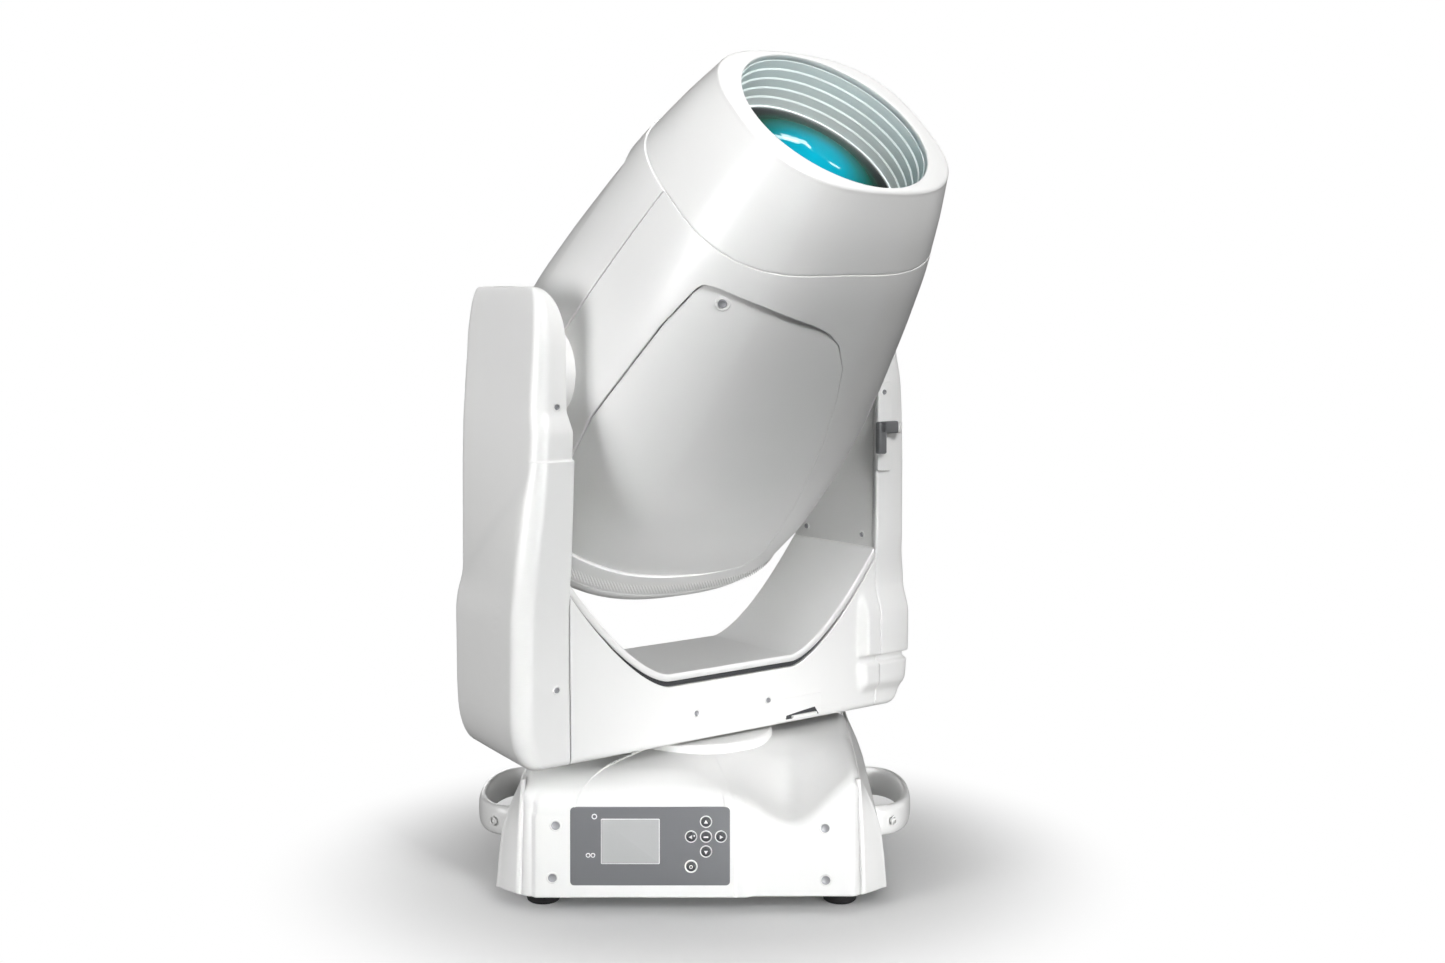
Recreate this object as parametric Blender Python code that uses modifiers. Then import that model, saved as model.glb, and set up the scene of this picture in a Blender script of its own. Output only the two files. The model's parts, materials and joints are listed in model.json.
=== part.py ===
"""Moving head light: a base with a display, a yoke that pans on it and a head that tilts in the yoke.

Frame: metres, +Z up, the base's front faces -Y. The origin is where the pan axis meets the plane of the
mounting plate under the base. The yoke is modelled in its own frame (x along the tilt axis) under the
empty pan_axis, and the head in its own frame (z along the beam) under the empty tilt_axis.
"""
import math

import bmesh
import bpy
from mathutils import Euler, Vector

# Rest pose
PAN_REST = math.radians(38.7)
TILT_REST = math.radians(42.8)
TILT_HEIGHT = 0.544

# Clearances and walls
GAP = 0.0003
WALL = 0.003

# Base
BASE_HALF_X = 0.1785
BASE_HALF_Y = 0.1755
BASE_BOTTOM = 0.001
BASE_TOP = 0.1325
FACE_TOP = 0.090
FACE_LEAN = math.radians(4.8)
TRAY_Z = 0.0043
SIDE_INNER_X = 0.1793
SIDE_OUTER_X = 0.2055
SIDE_GRIP_X = 0.2030
HANDLE_HALF_Y = 0.085
HANDLE_OUT = 0.0355
HANDLE_Z = 0.055
HANDLE_HEIGHT = 0.034
HANDLE_THICK = 0.011
FOOT_RADIUS = 0.018
FOOT_BOTTOM = -0.014
FOOT_X = 0.157
FOOT_Y = 0.140
COLLAR_RADIUS = 0.084
PAN_SHAFT_RADIUS = 0.030

# Display panel, in the plane of the leaning front face
PANEL_SIZE = (0.166, 0.0815)
PANEL_CENTRE = (-0.042, 0.0542)
PANEL_BACK = 0.0005
PANEL_THICK = 0.004
WINDOW_SIZE = (0.0590, 0.0455)
WINDOW_CENTRE = (-0.0625, 0.0595)
BUTTON_RADIUS = 0.0052
BUTTON_PITCH = 0.0155
BUTTON_HUB = (0.0161, 0.0645)

# Yoke
YOKE_BOTTOM = 0.1435
YOKE_FRONT = -0.069
YOKE_REAR = 0.078
SEAM_X = 0.2107
ARM_INNER = 0.2113
ARM_TOP = 0.633
PANEL_TOP = 0.2085
FLOOR_TOP = 0.222
FLOOR_FLAT = 0.085
FRAME_PLATE_X = 0.2160
FRAME_THICK = 0.004
TILT_SHAFT_RADIUS = 0.020
BEARING_RADIUS = 0.032
TILT_PULLEY_RADIUS = 0.034
TILT_PINION_RADIUS = 0.0095
TILT_PINION_Z = 0.222
PAN_PULLEY_RADIUS = 0.055
PAN_PINION_RADIUS = 0.0085
PAN_PINION_X = 0.125
BELT_THICK = 0.0018

# Head
HEAD_POWER = 2.65
HEAD_SQUASH = 0.887
HEAD_WIDEST = 0.194
HEAD_WIDEST_Z = -0.060
HEAD_TAPER = 0.4465
HOOD_FRONT = 0.346
HOOD_SEAM = 0.2450
REAR_SEAM = -0.195
REAR_END = -0.228
SEAM_GAP = 0.0012
BORE_RADIUS = 0.103
LENS_RADIUS = 0.0965
LENS_EDGE = 0.2840
LENS_APEX = 0.2995
HUB_RADIUS = 0.045

FINISHES = {
    "white_shell": ("#F2F2F0", 0.35, 0.0),
    "panel_grey": ("#77787A", 0.45, 0.0),
    "display_glass": ("#BFC0C0", 0.15, 0.0),
    "button_grey": ("#5A5B5D", 0.40, 0.0),
    "rubber_black": ("#1C1C1C", 0.85, 0.0),
    "lever_grey": ("#6A6B6C", 0.40, 0.0),
    "baffle_white": ("#D9E2E1", 0.55, 0.0),
    "lens_glass": ("#10A8BC", 0.05, 0.0),
    "steel": ("#9A9C9E", 0.35, 1.0),
    "aluminium": ("#C4C6C8", 0.40, 1.0),
    "motor_black": ("#2A2A2C", 0.50, 0.0),
    "belt_black": ("#202020", 0.80, 0.0),
}


def clear_scene():
    """Remove what the scene held, so that only this object is left."""
    for old in list(bpy.data.objects):
        bpy.data.objects.remove(old, do_unlink=True)


def new_collection(name):
    """Make a collection in the scene."""
    collection = bpy.data.collections.new(name)
    bpy.context.scene.collection.children.link(collection)
    return collection


def linear(hex_colour):
    """Turn an sRGB hex colour into linear RGBA."""
    channels = [int(hex_colour[i:i + 2], 16) / 255 for i in (1, 3, 5)]
    low = [c / 12.92 if c <= 0.04045 else ((c + 0.055) / 1.055) ** 2.4 for c in channels]
    return (*low, 1.0)


def make_finish(name):
    """One Principled material from the table of finishes."""
    colour, roughness, metallic = FINISHES[name]
    material = bpy.data.materials.get(name) or bpy.data.materials.new(name)
    material.use_nodes = True
    shader = material.node_tree.nodes["Principled BSDF"]
    shader.inputs["Base Color"].default_value = linear(colour)
    shader.inputs["Roughness"].default_value = roughness
    shader.inputs["Metallic"].default_value = metallic
    return material


def place(name, data, finish, parent=None, at=(0, 0, 0), turn=(0, 0, 0)):
    """Put mesh or curve data in the scene as one named sub-part."""
    part = bpy.data.objects.new(name, data)
    part.location = at
    part.rotation_euler = Euler(turn)
    part.parent = parent
    data.materials.append(make_finish(finish))
    PARTS.objects.link(part)
    return part


def cutter(name, data, parent=None, at=(0, 0, 0), turn=(0, 0, 0)):
    """Put data in the scene as a tool for Boolean modifiers."""
    tool = bpy.data.objects.new(name, data)
    tool.location = at
    tool.rotation_euler = Euler(turn)
    tool.parent = parent
    tool.hide_render = True
    tool.display_type = "WIRE"
    CUTTERS.objects.link(tool)
    return tool


def combine(part, tool, operation="DIFFERENCE"):
    """Cut a tool out of a part, or join it to the part."""
    boolean = part.modifiers.new(tool.name, "BOOLEAN")
    boolean.operation = operation
    boolean.solver = "EXACT"
    boolean.object = tool


def round_edges(part, width, segments=2, angle=30):
    """Bevel the sharp edges of a part."""
    bevel = part.modifiers.new("rounded", "BEVEL")
    bevel.width = width
    bevel.segments = segments
    bevel.limit_method = "ANGLE"
    bevel.angle_limit = math.radians(angle)


def block_mesh(size):
    """A box mesh of the given size, centred on its origin."""
    mesh = bpy.data.meshes.new("block")
    bm = bmesh.new()
    bmesh.ops.create_cube(bm, size=1.0)
    bmesh.ops.scale(bm, vec=Vector(size), verts=bm.verts)
    bm.to_mesh(mesh)
    bm.free()
    return mesh


def disc_mesh(radius, length, segments=24, radius_top=None):
    """A cylinder or cone mesh along Z, centred on its origin."""
    mesh = bpy.data.meshes.new("disc")
    bm = bmesh.new()
    top = radius if radius_top is None else radius_top
    bmesh.ops.create_cone(bm, cap_ends=True, segments=segments, radius1=radius, radius2=top, depth=length)
    bm.to_mesh(mesh)
    bm.free()
    mesh.shade_smooth()
    mesh.set_sharp_from_angle(angle=math.radians(40))
    return mesh


def turned(name, profile, finish, parent=None, at=(0, 0, 0), turn=(0, 0, 0), steps=32):
    """A turned piece: a closed profile of (radius, height) points spun about the piece's own Z axis."""
    mesh = bpy.data.meshes.new(name)
    bm = bmesh.new()
    points = [bm.verts.new((radius, 0.0, height)) for radius, height in profile]
    on_axis = profile[0][0] == 0.0
    pairs = list(zip(points, points[1:])) if on_axis else list(zip(points, points[1:] + points[:1]))
    for a, b in pairs:
        bm.edges.new((a, b))
    bm.to_mesh(mesh)
    bm.free()
    part = place(name, mesh, finish, parent, at, turn)
    screw = part.modifiers.new("turned", "SCREW")
    screw.steps = steps
    screw.render_steps = steps
    screw.use_merge_vertices = True
    screw.merge_threshold = 0.00005
    screw.use_smooth_shade = True
    return part


def shell(name, rows, finish, wall, parent=None, ring=False, at=(0, 0, 0)):
    """A thin-walled piece: an open surface through rows of points, thickened towards its inner side."""
    mesh = bpy.data.meshes.new(name)
    bm = bmesh.new()
    grid = [[bm.verts.new(point) for point in row] for row in rows]
    columns = len(rows[0])
    for lower, upper in zip(grid, grid[1:]):
        for j in range(columns if ring else columns - 1):
            k = (j + 1) % columns
            bm.faces.new((lower[j], lower[k], upper[k], upper[j]))
    bm.to_mesh(mesh)
    bm.free()
    mesh.shade_smooth()
    part = place(name, mesh, finish, parent, at)
    thick = part.modifiers.new("wall", "SOLIDIFY")
    thick.thickness = wall
    thick.offset = -1.0
    return part


def plate(name, outlines, thickness, finish, parent, at, turn):
    """A flat piece: closed outlines filled in the piece's own XY plane, the later ones being holes."""
    curve = bpy.data.curves.new(name, "CURVE")
    curve.dimensions = "2D"
    curve.fill_mode = "BOTH"
    curve.extrude = thickness / 2
    for outline in outlines:
        spline = curve.splines.new("POLY")
        spline.points.add(len(outline) - 1)
        for point, (x, y) in zip(spline.points, outline):
            point.co = (x, y, 0.0, 1.0)
        spline.use_cyclic_u = True
    return place(name, curve, finish, parent, at, turn)


def squircle(half_x, half_y, power, count, start=0.0, stop=math.tau, closed=True):
    """Points along a superellipse, anticlockwise from the angle start to stop."""
    steps = count if closed else count - 1
    points = []
    for i in range(count):
        angle = start + (stop - start) * i / steps
        c, s = math.cos(angle), math.sin(angle)
        x = math.copysign(abs(c) ** (2 / power), c) * half_x
        y = math.copysign(abs(s) ** (2 / power), s) * half_y
        points.append((x, y))
    return points


def circle(radius, count=32, centre=(0.0, 0.0)):
    """Points along a circle."""
    return [(centre[0] + x, centre[1] + y) for x, y in squircle(radius, radius, 2.0, count)]


def yoke_curve(base, x):
    """Height of the yoke's U at a distance x from its middle: flat, then rising to the arms."""
    return base + 2.54 * max(0.0, abs(x) - FLOOR_FLAT) ** 1.51


def head_half(z):
    """Half the head's width at a height z along the beam."""
    half = HEAD_WIDEST - HEAD_TAPER * (z - HEAD_WIDEST_Z) ** 2
    if z < REAR_SEAM:
        half -= 0.022 * ((REAR_SEAM - z) / (REAR_SEAM - REAR_END)) ** 2
    return half


def head_ring(z, count, start=0.0, stop=math.tau, closed=True, scale=1.0, shift=0.0):
    """One cross-section of the head's outer surface."""
    half = head_half(z) * scale
    ring = squircle(half, half * HEAD_SQUASH, HEAD_POWER, count, start, stop, closed)
    return [(x, y + shift, z) for x, y in ring]


# ---------------------------------------------------------------- base

def face_half_y(z):
    """Half the base's depth at a height on its leaning front and rear faces."""
    return BASE_HALF_Y - math.tan(FACE_LEAN) * (z - BASE_BOTTOM)


def build_base_shells():
    """The base's top cover, tray, mounting plate and feet."""
    count = 48
    sections = [(z, BASE_HALF_X - 0.02 * z, face_half_y(z), 10) for z in (BASE_BOTTOM, 0.045, FACE_TOP)]
    sections += [(0.113, 0.171, 0.158, 6), (0.126, 0.160, 0.144, 5), (0.1312, 0.138, 0.122, 4)]
    sections += [(BASE_TOP, 0.108, 0.100, 3), (BASE_TOP, COLLAR_RADIUS + 0.0005, COLLAR_RADIUS + 0.0005, 2)]
    rows = [[(x, y, z) for x, y in squircle(hx, hy, power, count)] for z, hx, hy, power in sections]
    shell("base_cover", rows, "white_shell", WALL, ring=True)
    place("base_tray", block_mesh((0.322, 0.316, 0.003)), "steel", at=(0, 0, TRAY_Z + 0.0015))
    place("mounting_plate", block_mesh((0.20, 0.14, TRAY_Z - GAP)), "steel", at=(0, 0, (TRAY_Z - GAP) / 2))
    top = TRAY_Z - GAP
    under = BASE_BOTTOM - 2 * GAP
    profile = [(0.0, top), (0.012, top), (0.012, under), (FOOT_RADIUS, under), (FOOT_RADIUS, -0.010),
               (0.0155, FOOT_BOTTOM), (0.0, FOOT_BOTTOM)]
    for row, y in (("front", -FOOT_Y), ("rear", FOOT_Y)):
        for side, x in (("left", -FOOT_X), ("right", FOOT_X)):
            turned(f"foot_{row}_{side}", profile, "rubber_black", at=(x, y, 0), steps=20)


def build_side(side, sign):
    """One wedge-shaped side cover and the carrying handle moulded to stand off it."""
    levels = [(0.002, SIDE_OUTER_X, 0.0), (0.035, SIDE_GRIP_X, 0.002), (0.075, SIDE_GRIP_X, 0.005)]
    levels += [(0.108, 0.189, 0.012), (0.125, 0.183, 0.018), (0.128, SIDE_INNER_X + 0.0006, 0.019)]
    rows = []
    for z, outer, inset in levels:
        plan = [(SIDE_INNER_X, -0.173 + inset), (outer, -0.152 + inset), (outer, -0.05)]
        plan += [(x, -y) for x, y in reversed(plan)]
        rows.append([(x * sign, y * sign, z) for x, y in plan])
    shell(f"side_cover_{side}", rows, "white_shell", 0.0025)
    root = SIDE_GRIP_X + 2 * GAP
    arch = squircle(HANDLE_OUT - 0.010, HANDLE_HALF_Y, 3.0, 15, -math.pi / 2, math.pi / 2, closed=False)
    path = [(root, -HANDLE_HALF_Y)] + [(root + 0.010 + x, y) for x, y in arch] + [(root, HANDLE_HALF_Y)]
    low, high = HANDLE_Z - HANDLE_HEIGHT / 2, HANDLE_Z + HANDLE_HEIGHT / 2
    rows = [[(x * sign, y * sign, z) for x, y in path] for z in (low, high)]
    handle = shell(f"handle_{side}", rows, "white_shell", HANDLE_THICK)
    round_edges(handle, 0.003, segments=1, angle=60)


def build_display():
    """Display panel with its window and six sprung buttons, in the plane of the leaning front face."""
    frame = bpy.data.objects.new("front_face", None)
    frame.location = (0, -BASE_HALF_Y, BASE_BOTTOM)
    frame.rotation_euler = Euler((-FACE_LEAN, 0, 0))
    PARTS.objects.link(frame)
    front = -(PANEL_BACK + PANEL_THICK)
    panel = place("display_panel", block_mesh((PANEL_SIZE[0], PANEL_THICK, PANEL_SIZE[1])), "panel_grey",
                  frame, (PANEL_CENTRE[0], front + PANEL_THICK / 2, PANEL_CENTRE[1]))
    window_y = front - GAP - 0.0006
    place("display_window", block_mesh((WINDOW_SIZE[0], 0.0012, WINDOW_SIZE[1])), "display_glass",
          frame, (WINDOW_CENTRE[0], window_y, WINDOW_CENTRE[1]))
    hub_x, hub_z = BUTTON_HUB
    spots = {"enter": (0, 0), "up": (0, 1), "down": (0, -1), "left": (-1, 0), "right": (1, 0),
             "battery": (-1, -2)}
    upright = (math.radians(90), 0, 0)
    for name, (across, up) in spots.items():
        spot = (hub_x + across * BUTTON_PITCH, 0, hub_z + up * BUTTON_PITCH)
        hole = cutter(f"hole_{name}", disc_mesh(BUTTON_RADIUS + 0.0004, 0.02), frame, spot, upright)
        combine(panel, hole)
        seat = (spot[0], front - 0.002 + 0.00225, spot[2])
        place(f"button_{name}", disc_mesh(BUTTON_RADIUS, 0.0045, 20), "button_grey", frame, seat, upright)


def build_base_inside():
    """Pan shaft with its collar, pan pulley, power supply and the mains inlet on the rear face."""
    r, collar = PAN_SHAFT_RADIUS, COLLAR_RADIUS
    shaft = [(0.022, 0.178), (r, 0.178), (r, 0.1395), (collar, 0.1395), (collar, 0.1287), (r, 0.1287),
             (r, 0.0076), (0.022, 0.0076)]
    turned("pan_shaft", shaft, "steel", steps=40)
    bore, rim = r + 0.0006, PAN_PULLEY_RADIUS
    turned("pan_pulley", [(bore, 0.1713), (rim, 0.1713), (rim, 0.1613), (bore, 0.1613)], "aluminium")
    place("power_supply", block_mesh((0.20, 0.10, 0.06)), "aluminium", at=(0, 0.09, 0.0386))
    frame = bpy.data.objects.new("rear_face", None)
    frame.location = (0, BASE_HALF_Y, BASE_BOTTOM)
    frame.rotation_euler = Euler((FACE_LEAN, 0, 0))
    PARTS.objects.link(frame)
    place("power_inlet", block_mesh((0.030, 0.006, 0.030)), "motor_black", frame, (-0.085, 0.0035, 0.048))


# ---------------------------------------------------------------- yoke

def build_yoke_frame(yoke):
    """The pressed steel U that carries the bearings."""
    frame = place("yoke_frame", block_mesh((2 * SEAM_X, 0.139, 0.005)), "steel", yoke, (0, 0.0045, 0.1500))
    tie = block_mesh((2 * FRAME_PLATE_X, 0.084, 0.004))
    combine(frame, cutter("tie", tie, yoke, (0, 0, 0.1500)), "UNION")
    for side in (-1, 1):
        cheek = block_mesh((FRAME_THICK, 0.084, 0.4485))
        combine(frame, cutter(f"cheek_{side}", cheek, yoke, (side * FRAME_PLATE_X, 0, 0.3722)), "UNION")
    pan_hole = cutter("pan_hole", disc_mesh(0.0465, 0.03, 32), yoke, (0, 0, 0.1500))
    combine(frame, pan_hole)
    sideways = (0, math.radians(90), 0)
    tilt_holes = disc_mesh(BEARING_RADIUS + 0.001, 0.5, 32)
    combine(frame, cutter("tilt_holes", tilt_holes, yoke, (0, 0, TILT_HEIGHT), sideways))
    drive_hole = disc_mesh(0.014, 0.03)
    combine(frame, cutter("drive_hole", drive_hole, yoke, (-FRAME_PLATE_X, 0, TILT_PINION_Z), sideways))


def build_cross_bar(yoke):
    """Front and rear panels of the yoke's cross bar and the U-shaped floor between the arms."""
    steps = 20
    across = [SEAM_X - 2 * SEAM_X * i / steps for i in range(steps + 1)]
    outline = [(-SEAM_X, YOKE_BOTTOM), (SEAM_X, YOKE_BOTTOM)] + [(x, yoke_curve(PANEL_TOP, x)) for x in across]
    upright = (math.radians(90), 0, 0)
    plate("cross_panel_front", [outline], WALL, "white_shell", yoke, (0, YOKE_FRONT + WALL / 2, 0), upright)
    plate("cross_panel_rear", [outline], WALL, "white_shell", yoke, (0, YOKE_REAR - WALL / 2, 0), upright)
    front, rear = YOKE_FRONT + WALL + 0.0005, YOKE_REAR - WALL - 0.0005
    rows = [[(-x, y, yoke_curve(FLOOR_TOP, x)) for x in across] for y in (front, rear)]
    shell("cross_floor", rows, "white_shell", 0.0025, yoke)


def build_arm(yoke, side, sign):
    """One arm: a deep outer cover and the flat inner cover that faces the head."""
    centre = (YOKE_FRONT + YOKE_REAR) / 2
    half = (YOKE_REAR - YOKE_FRONT) / 2
    levels = [(0.1435, 0.002, 0.016), (0.1435, 0.018, 0.014), (0.148, 0.033, 0.008), (0.162, 0.0425, 0.003),
              (0.200, 0.0462, 0.0), (0.300, 0.0475, 0.0), (0.335, 0.0410, 0.0), (0.450, 0.0405, 0.0),
              (0.500, 0.0390, 0.0), (0.585, 0.0320, 0.0), (0.609, 0.0295, 0.004), (0.624, 0.0240, 0.011),
              (0.631, 0.0150, 0.020), (ARM_TOP, 0.002, 0.026)]
    rows = []
    for z, depth, inset in levels:
        section = squircle(depth, half - inset, 5.0, 15, -math.pi / 2, math.pi / 2, closed=False)
        rows.append([(sign * (ARM_INNER + x), centre + sign * y, z) for x, y in section])
    shell(f"arm_cover_{side}", rows, "white_shell", 0.0025, yoke)
    low, top, reach = 0.336, 0.600, half - 0.012
    crown = [(reach * math.cos(a), top - 0.04 + 0.05 * math.sin(a)) for a in
             [math.pi * i / 14 for i in range(15)]]
    outline = [(-reach, low), (reach, low)] + crown
    hole = [(-centre + y, TILT_HEIGHT + z) for y, z in circle(0.024, 24)]
    turn = (math.radians(90), 0, math.radians(90))
    plate(f"arm_inner_{side}", [outline, hole], 0.0022, "white_shell", yoke,
          (sign * (ARM_INNER + 0.0014), centre, 0), turn)
    bearing = [(TILT_SHAFT_RADIUS + GAP, 0.006), (BEARING_RADIUS, 0.006), (BEARING_RADIUS, -0.006),
               (TILT_SHAFT_RADIUS + GAP, -0.006)]
    turned(f"tilt_bearing_{side}", bearing, "steel", yoke, (sign * (FRAME_PLATE_X + 0.0045), 0, TILT_HEIGHT),
           (0, math.radians(90), 0), 24)


def belt_outlines(big, small, distance):
    """Inner and outer outline of a belt round two pulleys, the small one at a distance along -Y."""
    lean = math.asin((big - small) / distance)
    steps = 16
    outlines = []
    for extra in (GAP + BELT_THICK, GAP):
        outline = []
        for radius, y, start, stop in ((big, 0.0, -lean, math.pi + lean),
                                       (small, -distance, math.pi + lean, math.tau - lean)):
            reach = (radius + extra) / math.cos((stop - start) / steps / 2)
            for i in range(steps + 1):
                angle = start + (stop - start) * i / steps
                outline.append((reach * math.cos(angle), y + reach * math.sin(angle)))
        outlines.append(outline)
    return outlines


def build_tilt_drive(yoke):
    """Tilt motor in the end of the cross bar, its pinion in the left arm, and the belt up to the tilt shaft."""
    sideways = (0, math.radians(90), 0)
    place("tilt_motor", disc_mesh(0.0285, 0.040, 24), "motor_black", yoke, (-0.1935, 0, TILT_PINION_Z), sideways)
    r = TILT_PINION_RADIUS
    pinion = [(0.0, 0.0152), (0.004, 0.0152), (0.004, 0.0), (r, 0.0), (r, -0.0070), (0.0, -0.0070)]
    turned("tilt_pinion", pinion, "aluminium", yoke, (-0.2290, 0, TILT_PINION_Z), sideways, 20)
    outlines = belt_outlines(TILT_PULLEY_RADIUS, r, TILT_HEIGHT - TILT_PINION_Z)
    plate("tilt_belt", outlines, 0.006, "belt_black", yoke, (-0.2325, 0, TILT_HEIGHT),
          (math.radians(90), 0, math.radians(90)))


def build_pan_drive(yoke):
    """Pan bearing, and the motor that rides in the cross bar and walks round the fixed pan pulley."""
    bore = PAN_SHAFT_RADIUS + 0.0006
    turned("pan_bearing", [(bore, 0.158), (0.045, 0.158), (0.045, 0.1436), (bore, 0.1436)], "steel", yoke)
    place("pan_motor", disc_mesh(0.0285, 0.036, 24), "motor_black", yoke, (PAN_PINION_X, 0, 0.1940))
    r = PAN_PINION_RADIUS
    pinion = [(0.0, 0.1757), (0.004, 0.1757), (0.004, 0.1713), (r, 0.1713), (r, 0.1613), (0.0, 0.1613)]
    turned("pan_pinion", pinion, "aluminium", yoke, (PAN_PINION_X, 0, 0), steps=20)
    outlines = belt_outlines(PAN_PULLEY_RADIUS, r, PAN_PINION_X)
    plate("pan_belt", outlines, 0.008, "belt_black", yoke, (0, 0, 0.1663), (0, 0, math.radians(90)))


def build_locks(yoke):
    """Tilt lock lever on the right arm's front face and pan lock latch at the foot of the front panel."""
    proud = YOKE_FRONT - GAP
    lever = place("tilt_lock_lever", block_mesh((0.0354, 0.010, 0.014)), "lever_grey", yoke,
                  (0.2167, proud - 0.005, 0.4727))
    arm = cutter("lever_arm", block_mesh((0.0115, 0.010, 0.037)), yoke, (0.2048, proud - 0.005, 0.4612))
    combine(lever, arm, "UNION")
    place("pan_lock_latch", block_mesh((0.040, 0.005, 0.008)), "lever_grey", yoke, (0.1035, proud - 0.0025, 0.1500))


# ---------------------------------------------------------------- head

def build_hood():
    """The lens hood: a flat rim round the bore, then the tapering outer wall."""
    count = 40
    rim = [(x, y, HOOD_FRONT) for x, y in circle(BORE_RADIUS, count)]
    brim = [(x, y, HOOD_FRONT) for x, y, _ in head_ring(HOOD_FRONT, count, scale=0.975)]
    top, levels = HOOD_FRONT - 0.004, 4
    walls = [head_ring(top - (top - HOOD_SEAM - SEAM_GAP) * i / levels, count) for i in range(levels + 1)]
    return [rim, brim, *walls][::-1]


def build_head_shells(head):
    """Hood, front and rear body shells, a service cover in a pocket of each, and the vented rear cap."""
    shell("hood", build_hood(), "white_shell", WALL, head, ring=True)
    columns, levels = 21, 9
    heights = [REAR_SEAM + (HOOD_SEAM - REAR_SEAM) * i / levels for i in range(levels + 1)]
    pocket = range(2, 9), range(5, 16)
    hub_hole = cutter("hub_hole", disc_mesh(HUB_RADIUS + 0.002, 0.5, 24), head, turn=(0, math.radians(90), 0))
    for name, start, shift in (("front", math.pi, -GAP / 2), ("rear", 0.0, GAP / 2)):
        rows = []
        for i, z in enumerate(heights):
            row = head_ring(z, columns, start, start + math.pi, False, shift=shift)
            if i in pocket[0]:
                sunk = head_ring(z, columns, start, start + math.pi, False, 0.982, shift)
                row = [sunk[j] if j in pocket[1] else point for j, point in enumerate(row)]
            rows.append(row)
        combine(shell(f"head_shell_{name}", rows, "white_shell", WALL, head), hub_hole)
        rows = [head_ring(heights[i], columns, start, start + math.pi, False, 0.997, shift)[5:16] for i in pocket[0]]
        shell(f"service_cover_{name}", rows, "white_shell", 0.0018, head)
    steps = 5
    depths = [REAR_SEAM - SEAM_GAP - (REAR_SEAM - SEAM_GAP - REAR_END) * i / steps for i in range(steps + 1)]
    rows = [head_ring(REAR_END, 40, scale=0.12)] + [head_ring(z, 40) for z in reversed(depths)]
    shell("rear_cap", rows, "white_shell", WALL, head, ring=True)


def build_optics(head):
    """Stepped baffle tube, front lens, zoom and focus carriages, colour and gobo wheels."""
    steps = 5
    front, back = HOOD_FRONT - WALL - 0.0005, LENS_EDGE + 0.0010
    outer, throat = BORE_RADIUS + 0.0005, LENS_RADIUS + 0.0005
    widening = (BORE_RADIUS - 0.0010 - throat) / (steps - 1)
    profile = [(outer, front), (outer, back)]
    for i in range(steps):
        low, high = (back + (front - back) * j / steps for j in (i, i + 1))
        profile += [(throat + widening * i, low), (throat + widening * i, high)]
    turned("baffle_tube", profile, "baffle_white", head, steps=40)
    rim, rise = LENS_RADIUS - 0.001, LENS_APEX - LENS_EDGE
    sphere = (rim ** 2 + rise ** 2) / (2 * rise)
    radii = [rim * i / 6 for i in range(7)]
    profile = [(r, LENS_APEX - sphere + math.sqrt(sphere ** 2 - r ** 2)) for r in radii]
    profile += [(LENS_RADIUS, LENS_EDGE - 0.001), (LENS_RADIUS, LENS_EDGE - 0.010), (0.0, LENS_EDGE - 0.010)]
    turned("front_lens", profile, "lens_glass", head, steps=40)
    carriages = (("focus_carriage", 0.058, 0.006), ("zoom_carriage", 0.070, 0.097))
    for name, radius, z in carriages:
        profile = [(0.0, z + 0.009), (radius * 0.7, z + 0.006), (radius, z + 0.006), (radius, z - 0.006),
                   (0.0, z - 0.006)]
        turned(name, profile, "aluminium", head, steps=24)
    for name, x, z in (("colour_wheel", 0.060, -0.085), ("gobo_wheel", -0.060, -0.070)):
        place(name, disc_mesh(0.062, 0.002, 28), "aluminium", head, (x, 0, z))


def build_head_inside(head):
    """Chassis, light engine, finned heat sink and cooling fan."""
    frame = place("head_chassis", block_mesh((0.302, 0.14, 0.003)), "steel", head, (0, 0, 0.170))
    rear = cutter("rear_bulkhead", block_mesh((0.302, 0.18, 0.003)), head, (0, 0, -0.1015))
    combine(frame, rear, "UNION")
    for side in (-1, 1):
        rail = cutter(f"rail_{side}", block_mesh((0.004, 0.09, 0.35)), head, (side * 0.149, 0, 0.0))
        combine(frame, rail, "UNION")
    combine(frame, cutter("light_path_front", disc_mesh(0.060, 0.03), head, (0, 0, 0.170)))
    combine(frame, cutter("light_path_rear", disc_mesh(0.030, 0.03), head, (0, 0, -0.1015)))
    place("light_engine", disc_mesh(0.055, 0.044, 24), "motor_black", head, (0, 0, -0.1260))
    fins, pitch, root, tip = 9, 0.018, -0.1490, -0.1840
    outline = [(-0.080, root), (0.080, root)]
    for i in reversed(range(fins)):
        middle = (i - (fins - 1) / 2) * pitch
        outline += [(middle + 0.004, root - 0.008), (middle + 0.004, tip), (middle - 0.004, tip),
                    (middle - 0.004, root - 0.008)]
    plate("heat_sink", [outline[::-1]], 0.12, "aluminium", head, (0, 0, 0), (math.radians(90), 0, 0))
    place("cooling_fan", disc_mesh(0.055, 0.018, 24), "motor_black", head, (0, 0, -0.2000))


def build_hub(head, side, sign):
    """A turned tilt hub: flange against the head, shaft through the arm's bearing, pulley on the left one."""
    r, rim, bore = TILT_SHAFT_RADIUS, HUB_RADIUS, 0.012
    end = 0.2360
    profile = [(bore, end)]
    if side == "left":
        profile += [(TILT_PULLEY_RADIUS, end), (TILT_PULLEY_RADIUS, end - 0.007), (r, end - 0.007)]
    else:
        profile += [(r, end)]
    profile += [(r, 0.2095), (rim, 0.2095), (rim, 0.1860), (r, 0.1860), (r, 0.1515), (bore, 0.1515)]
    turned(f"tilt_hub_{side}", profile, "aluminium", head, turn=(0, sign * math.radians(90), 0), steps=32)


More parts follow.
